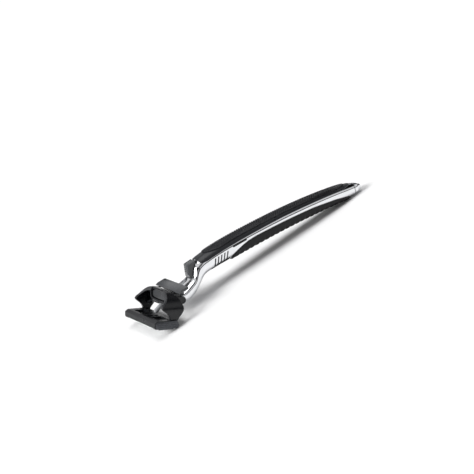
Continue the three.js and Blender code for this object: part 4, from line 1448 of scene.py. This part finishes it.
fins = plate(fin_outline(), -GUARD_HALF, GUARD_HALF, rim=0)
finish_piece("fin_row", fins, unit_place, "blade_unit", ["guard_fins"], fin_rubber, crease=50)

STRIP_IN = WINDOW_CAP - 0.5
STRIP_OUT = -6.05
strip_outline = [
    (STRIP_OUT, 1), (STRIP_OUT + 0.04, 0.3), (STRIP_OUT + 0.25, -0.02), (STRIP_OUT + 0.6, -0.12),
    (STRIP_IN - 0.45, -0.1), (STRIP_IN - 0.12, 0.05), (STRIP_IN, 0.3), (STRIP_IN, 1),
]
glide = plate(strip_outline, -GUARD_HALF, GUARD_HALF, rim=0)
finish_piece(
    "glide_strip", glide, unit_place, "blade_unit", ["comfort_strip"], strip_pale, crease=50
)

# %% [markdown]
# A formed metal clip wraps each end of the unit and holds the blades down. Its outer face is a thin
# plate with pressed ridges, and a leg folds under to reach the blade ends.

# %% End clips
CLIP_THICK = 0.55
UNIT_HALF = 21.0
CLIP_OUTLINE = [
    (-6.3, 0.9), (-5.8, 0.2), (5.6, 0.2), (6.3, 0.9), (6.3, 3.2), (5.5, 4.1), (-4.8, 4.1), (-6.3, 3.0),
]
LEG_IN = 17.4
RIDGE_LINES = 3
RIDGE_LOW = 1.15
RIDGE_GAP = 0.95
RIDGE_PROUD = 0.14
for side_name, side in (("left", -1), ("right", 1)):
    outer, inner = side * UNIT_HALF, side * (UNIT_HALF - CLIP_THICK)
    clip = plate(CLIP_OUTLINE, min(outer, inner), max(outer, inner), rim=0.12)
    leg_in = side * LEG_IN
    join(clip, block((-4.45, min(leg_in, outer), -0.15), (3.35, max(leg_in, outer), 0.35), rim=0.1))
    proud = outer + side * RIDGE_PROUD
    for number in range(RIDGE_LINES):
        z = RIDGE_LOW + number * RIDGE_GAP
        join(clip, block((-4.9, min(proud, inner), z - 0.18), (5.3, max(proud, inner), z + 0.18), rim=0.12))
    finish_piece(
        "banded_clip_" + side_name, clip, unit_place, "blade_unit",
        ["end_clip_" + side_name], clip_metal,
    )

# %% [markdown]
# The plunger's return spring sits in the bore behind it. Turning the head pushes the plunger in, and the coil has
# to give way. The spring keeps its solid mesh's shape, as a piece of its own with its own mesh.

# %% Plunger spring
plunger_coil = merged_copy("plunger_spring")
bmesh.ops.transform(plunger_coil, matrix=dock_place.inverted(), verts=plunger_coil.verts)
squeezed = finish_piece(
    "plunger_coil", plunger_coil, dock_place, "handle", ["plunger_spring"], spring_steel
)
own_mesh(squeezed)

# %% [markdown]
# The blades, their bent supports, the button spring and the nose pins are precise simple shapes
# already. They keep the solid model's own meshes and take their steel finishes.

# %% Steel parts
steel_parts = {
    "nose_pin_left": spring_steel, "nose_pin_right": spring_steel, "button_spring": spring_steel,
}
for number in (1, 2, 3):
    steel_parts["blade_%d" % number] = blade_steel
    steel_parts["blade_support_%d" % number] = support_steel
for node, finish in steel_parts.items():
    cad_part = frame["nodes"][node]
    cad_part.data.materials.clear()
    cad_part.data.materials.append(finish)
print("steel parts:", len(steel_parts))

# %% [markdown]
# The razor lies on a plain pale floor, blade side down. The floor is large, so it fills the view
# behind the razor from the studio camera. A faint mottle keeps it from looking computed.

# %% Floor
FLOOR_HALF = 3.0
floor_bm = bmesh.new()
bmesh.ops.create_grid(floor_bm, x_segments=1, y_segments=1, size=FLOOR_HALF)
floor_mesh = bpy.data.meshes.new("floor")
floor_bm.to_mesh(floor_mesh)
floor_bm.free()
floor = bpy.data.objects.new("floor", floor_mesh)
scene.collection.objects.link(floor)
floor_finish = bpy.data.materials.new("floor_finish")
floor_finish.use_nodes = True
floor_tree = floor_finish.node_tree
floor_shader = floor_tree.nodes["Principled BSDF"]
floor_shader.inputs["Roughness"].default_value = 0.6
floor_place = add_node(floor_tree, "ShaderNodeTexCoord")
mottle = add_node(
    floor_tree, "ShaderNodeTexNoise", {"Scale": 40, "Detail": 3}, {"Vector": floor_place.outputs["Object"]}
)
pale = add_node(floor_tree, "ShaderNodeMix", links={0: mottle.outputs["Fac"]}, data_type="RGBA")
pale.inputs[6].default_value = (0.86, 0.86, 0.86, 1)
pale.inputs[7].default_value = (0.92, 0.92, 0.92, 1)
floor_tree.links.new(pale.outputs[2], floor_shader.inputs["Base Color"])
floor_mesh.materials.append(floor_finish)
floor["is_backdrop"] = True
print("floor side:", 2 * FLOOR_HALF, "m")

# %% [markdown]
# Last, the box of the dressed razor is measured against the box of its solid model, and the largest difference
# between the two is printed.

# %% Sizes and finish
visual_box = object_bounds()
differences = [abs(a - b) for p, q in zip(cad_box, visual_box) for a, b in zip(p, q)]
print("largest difference in mm:", round(max(differences) / MM, 2))
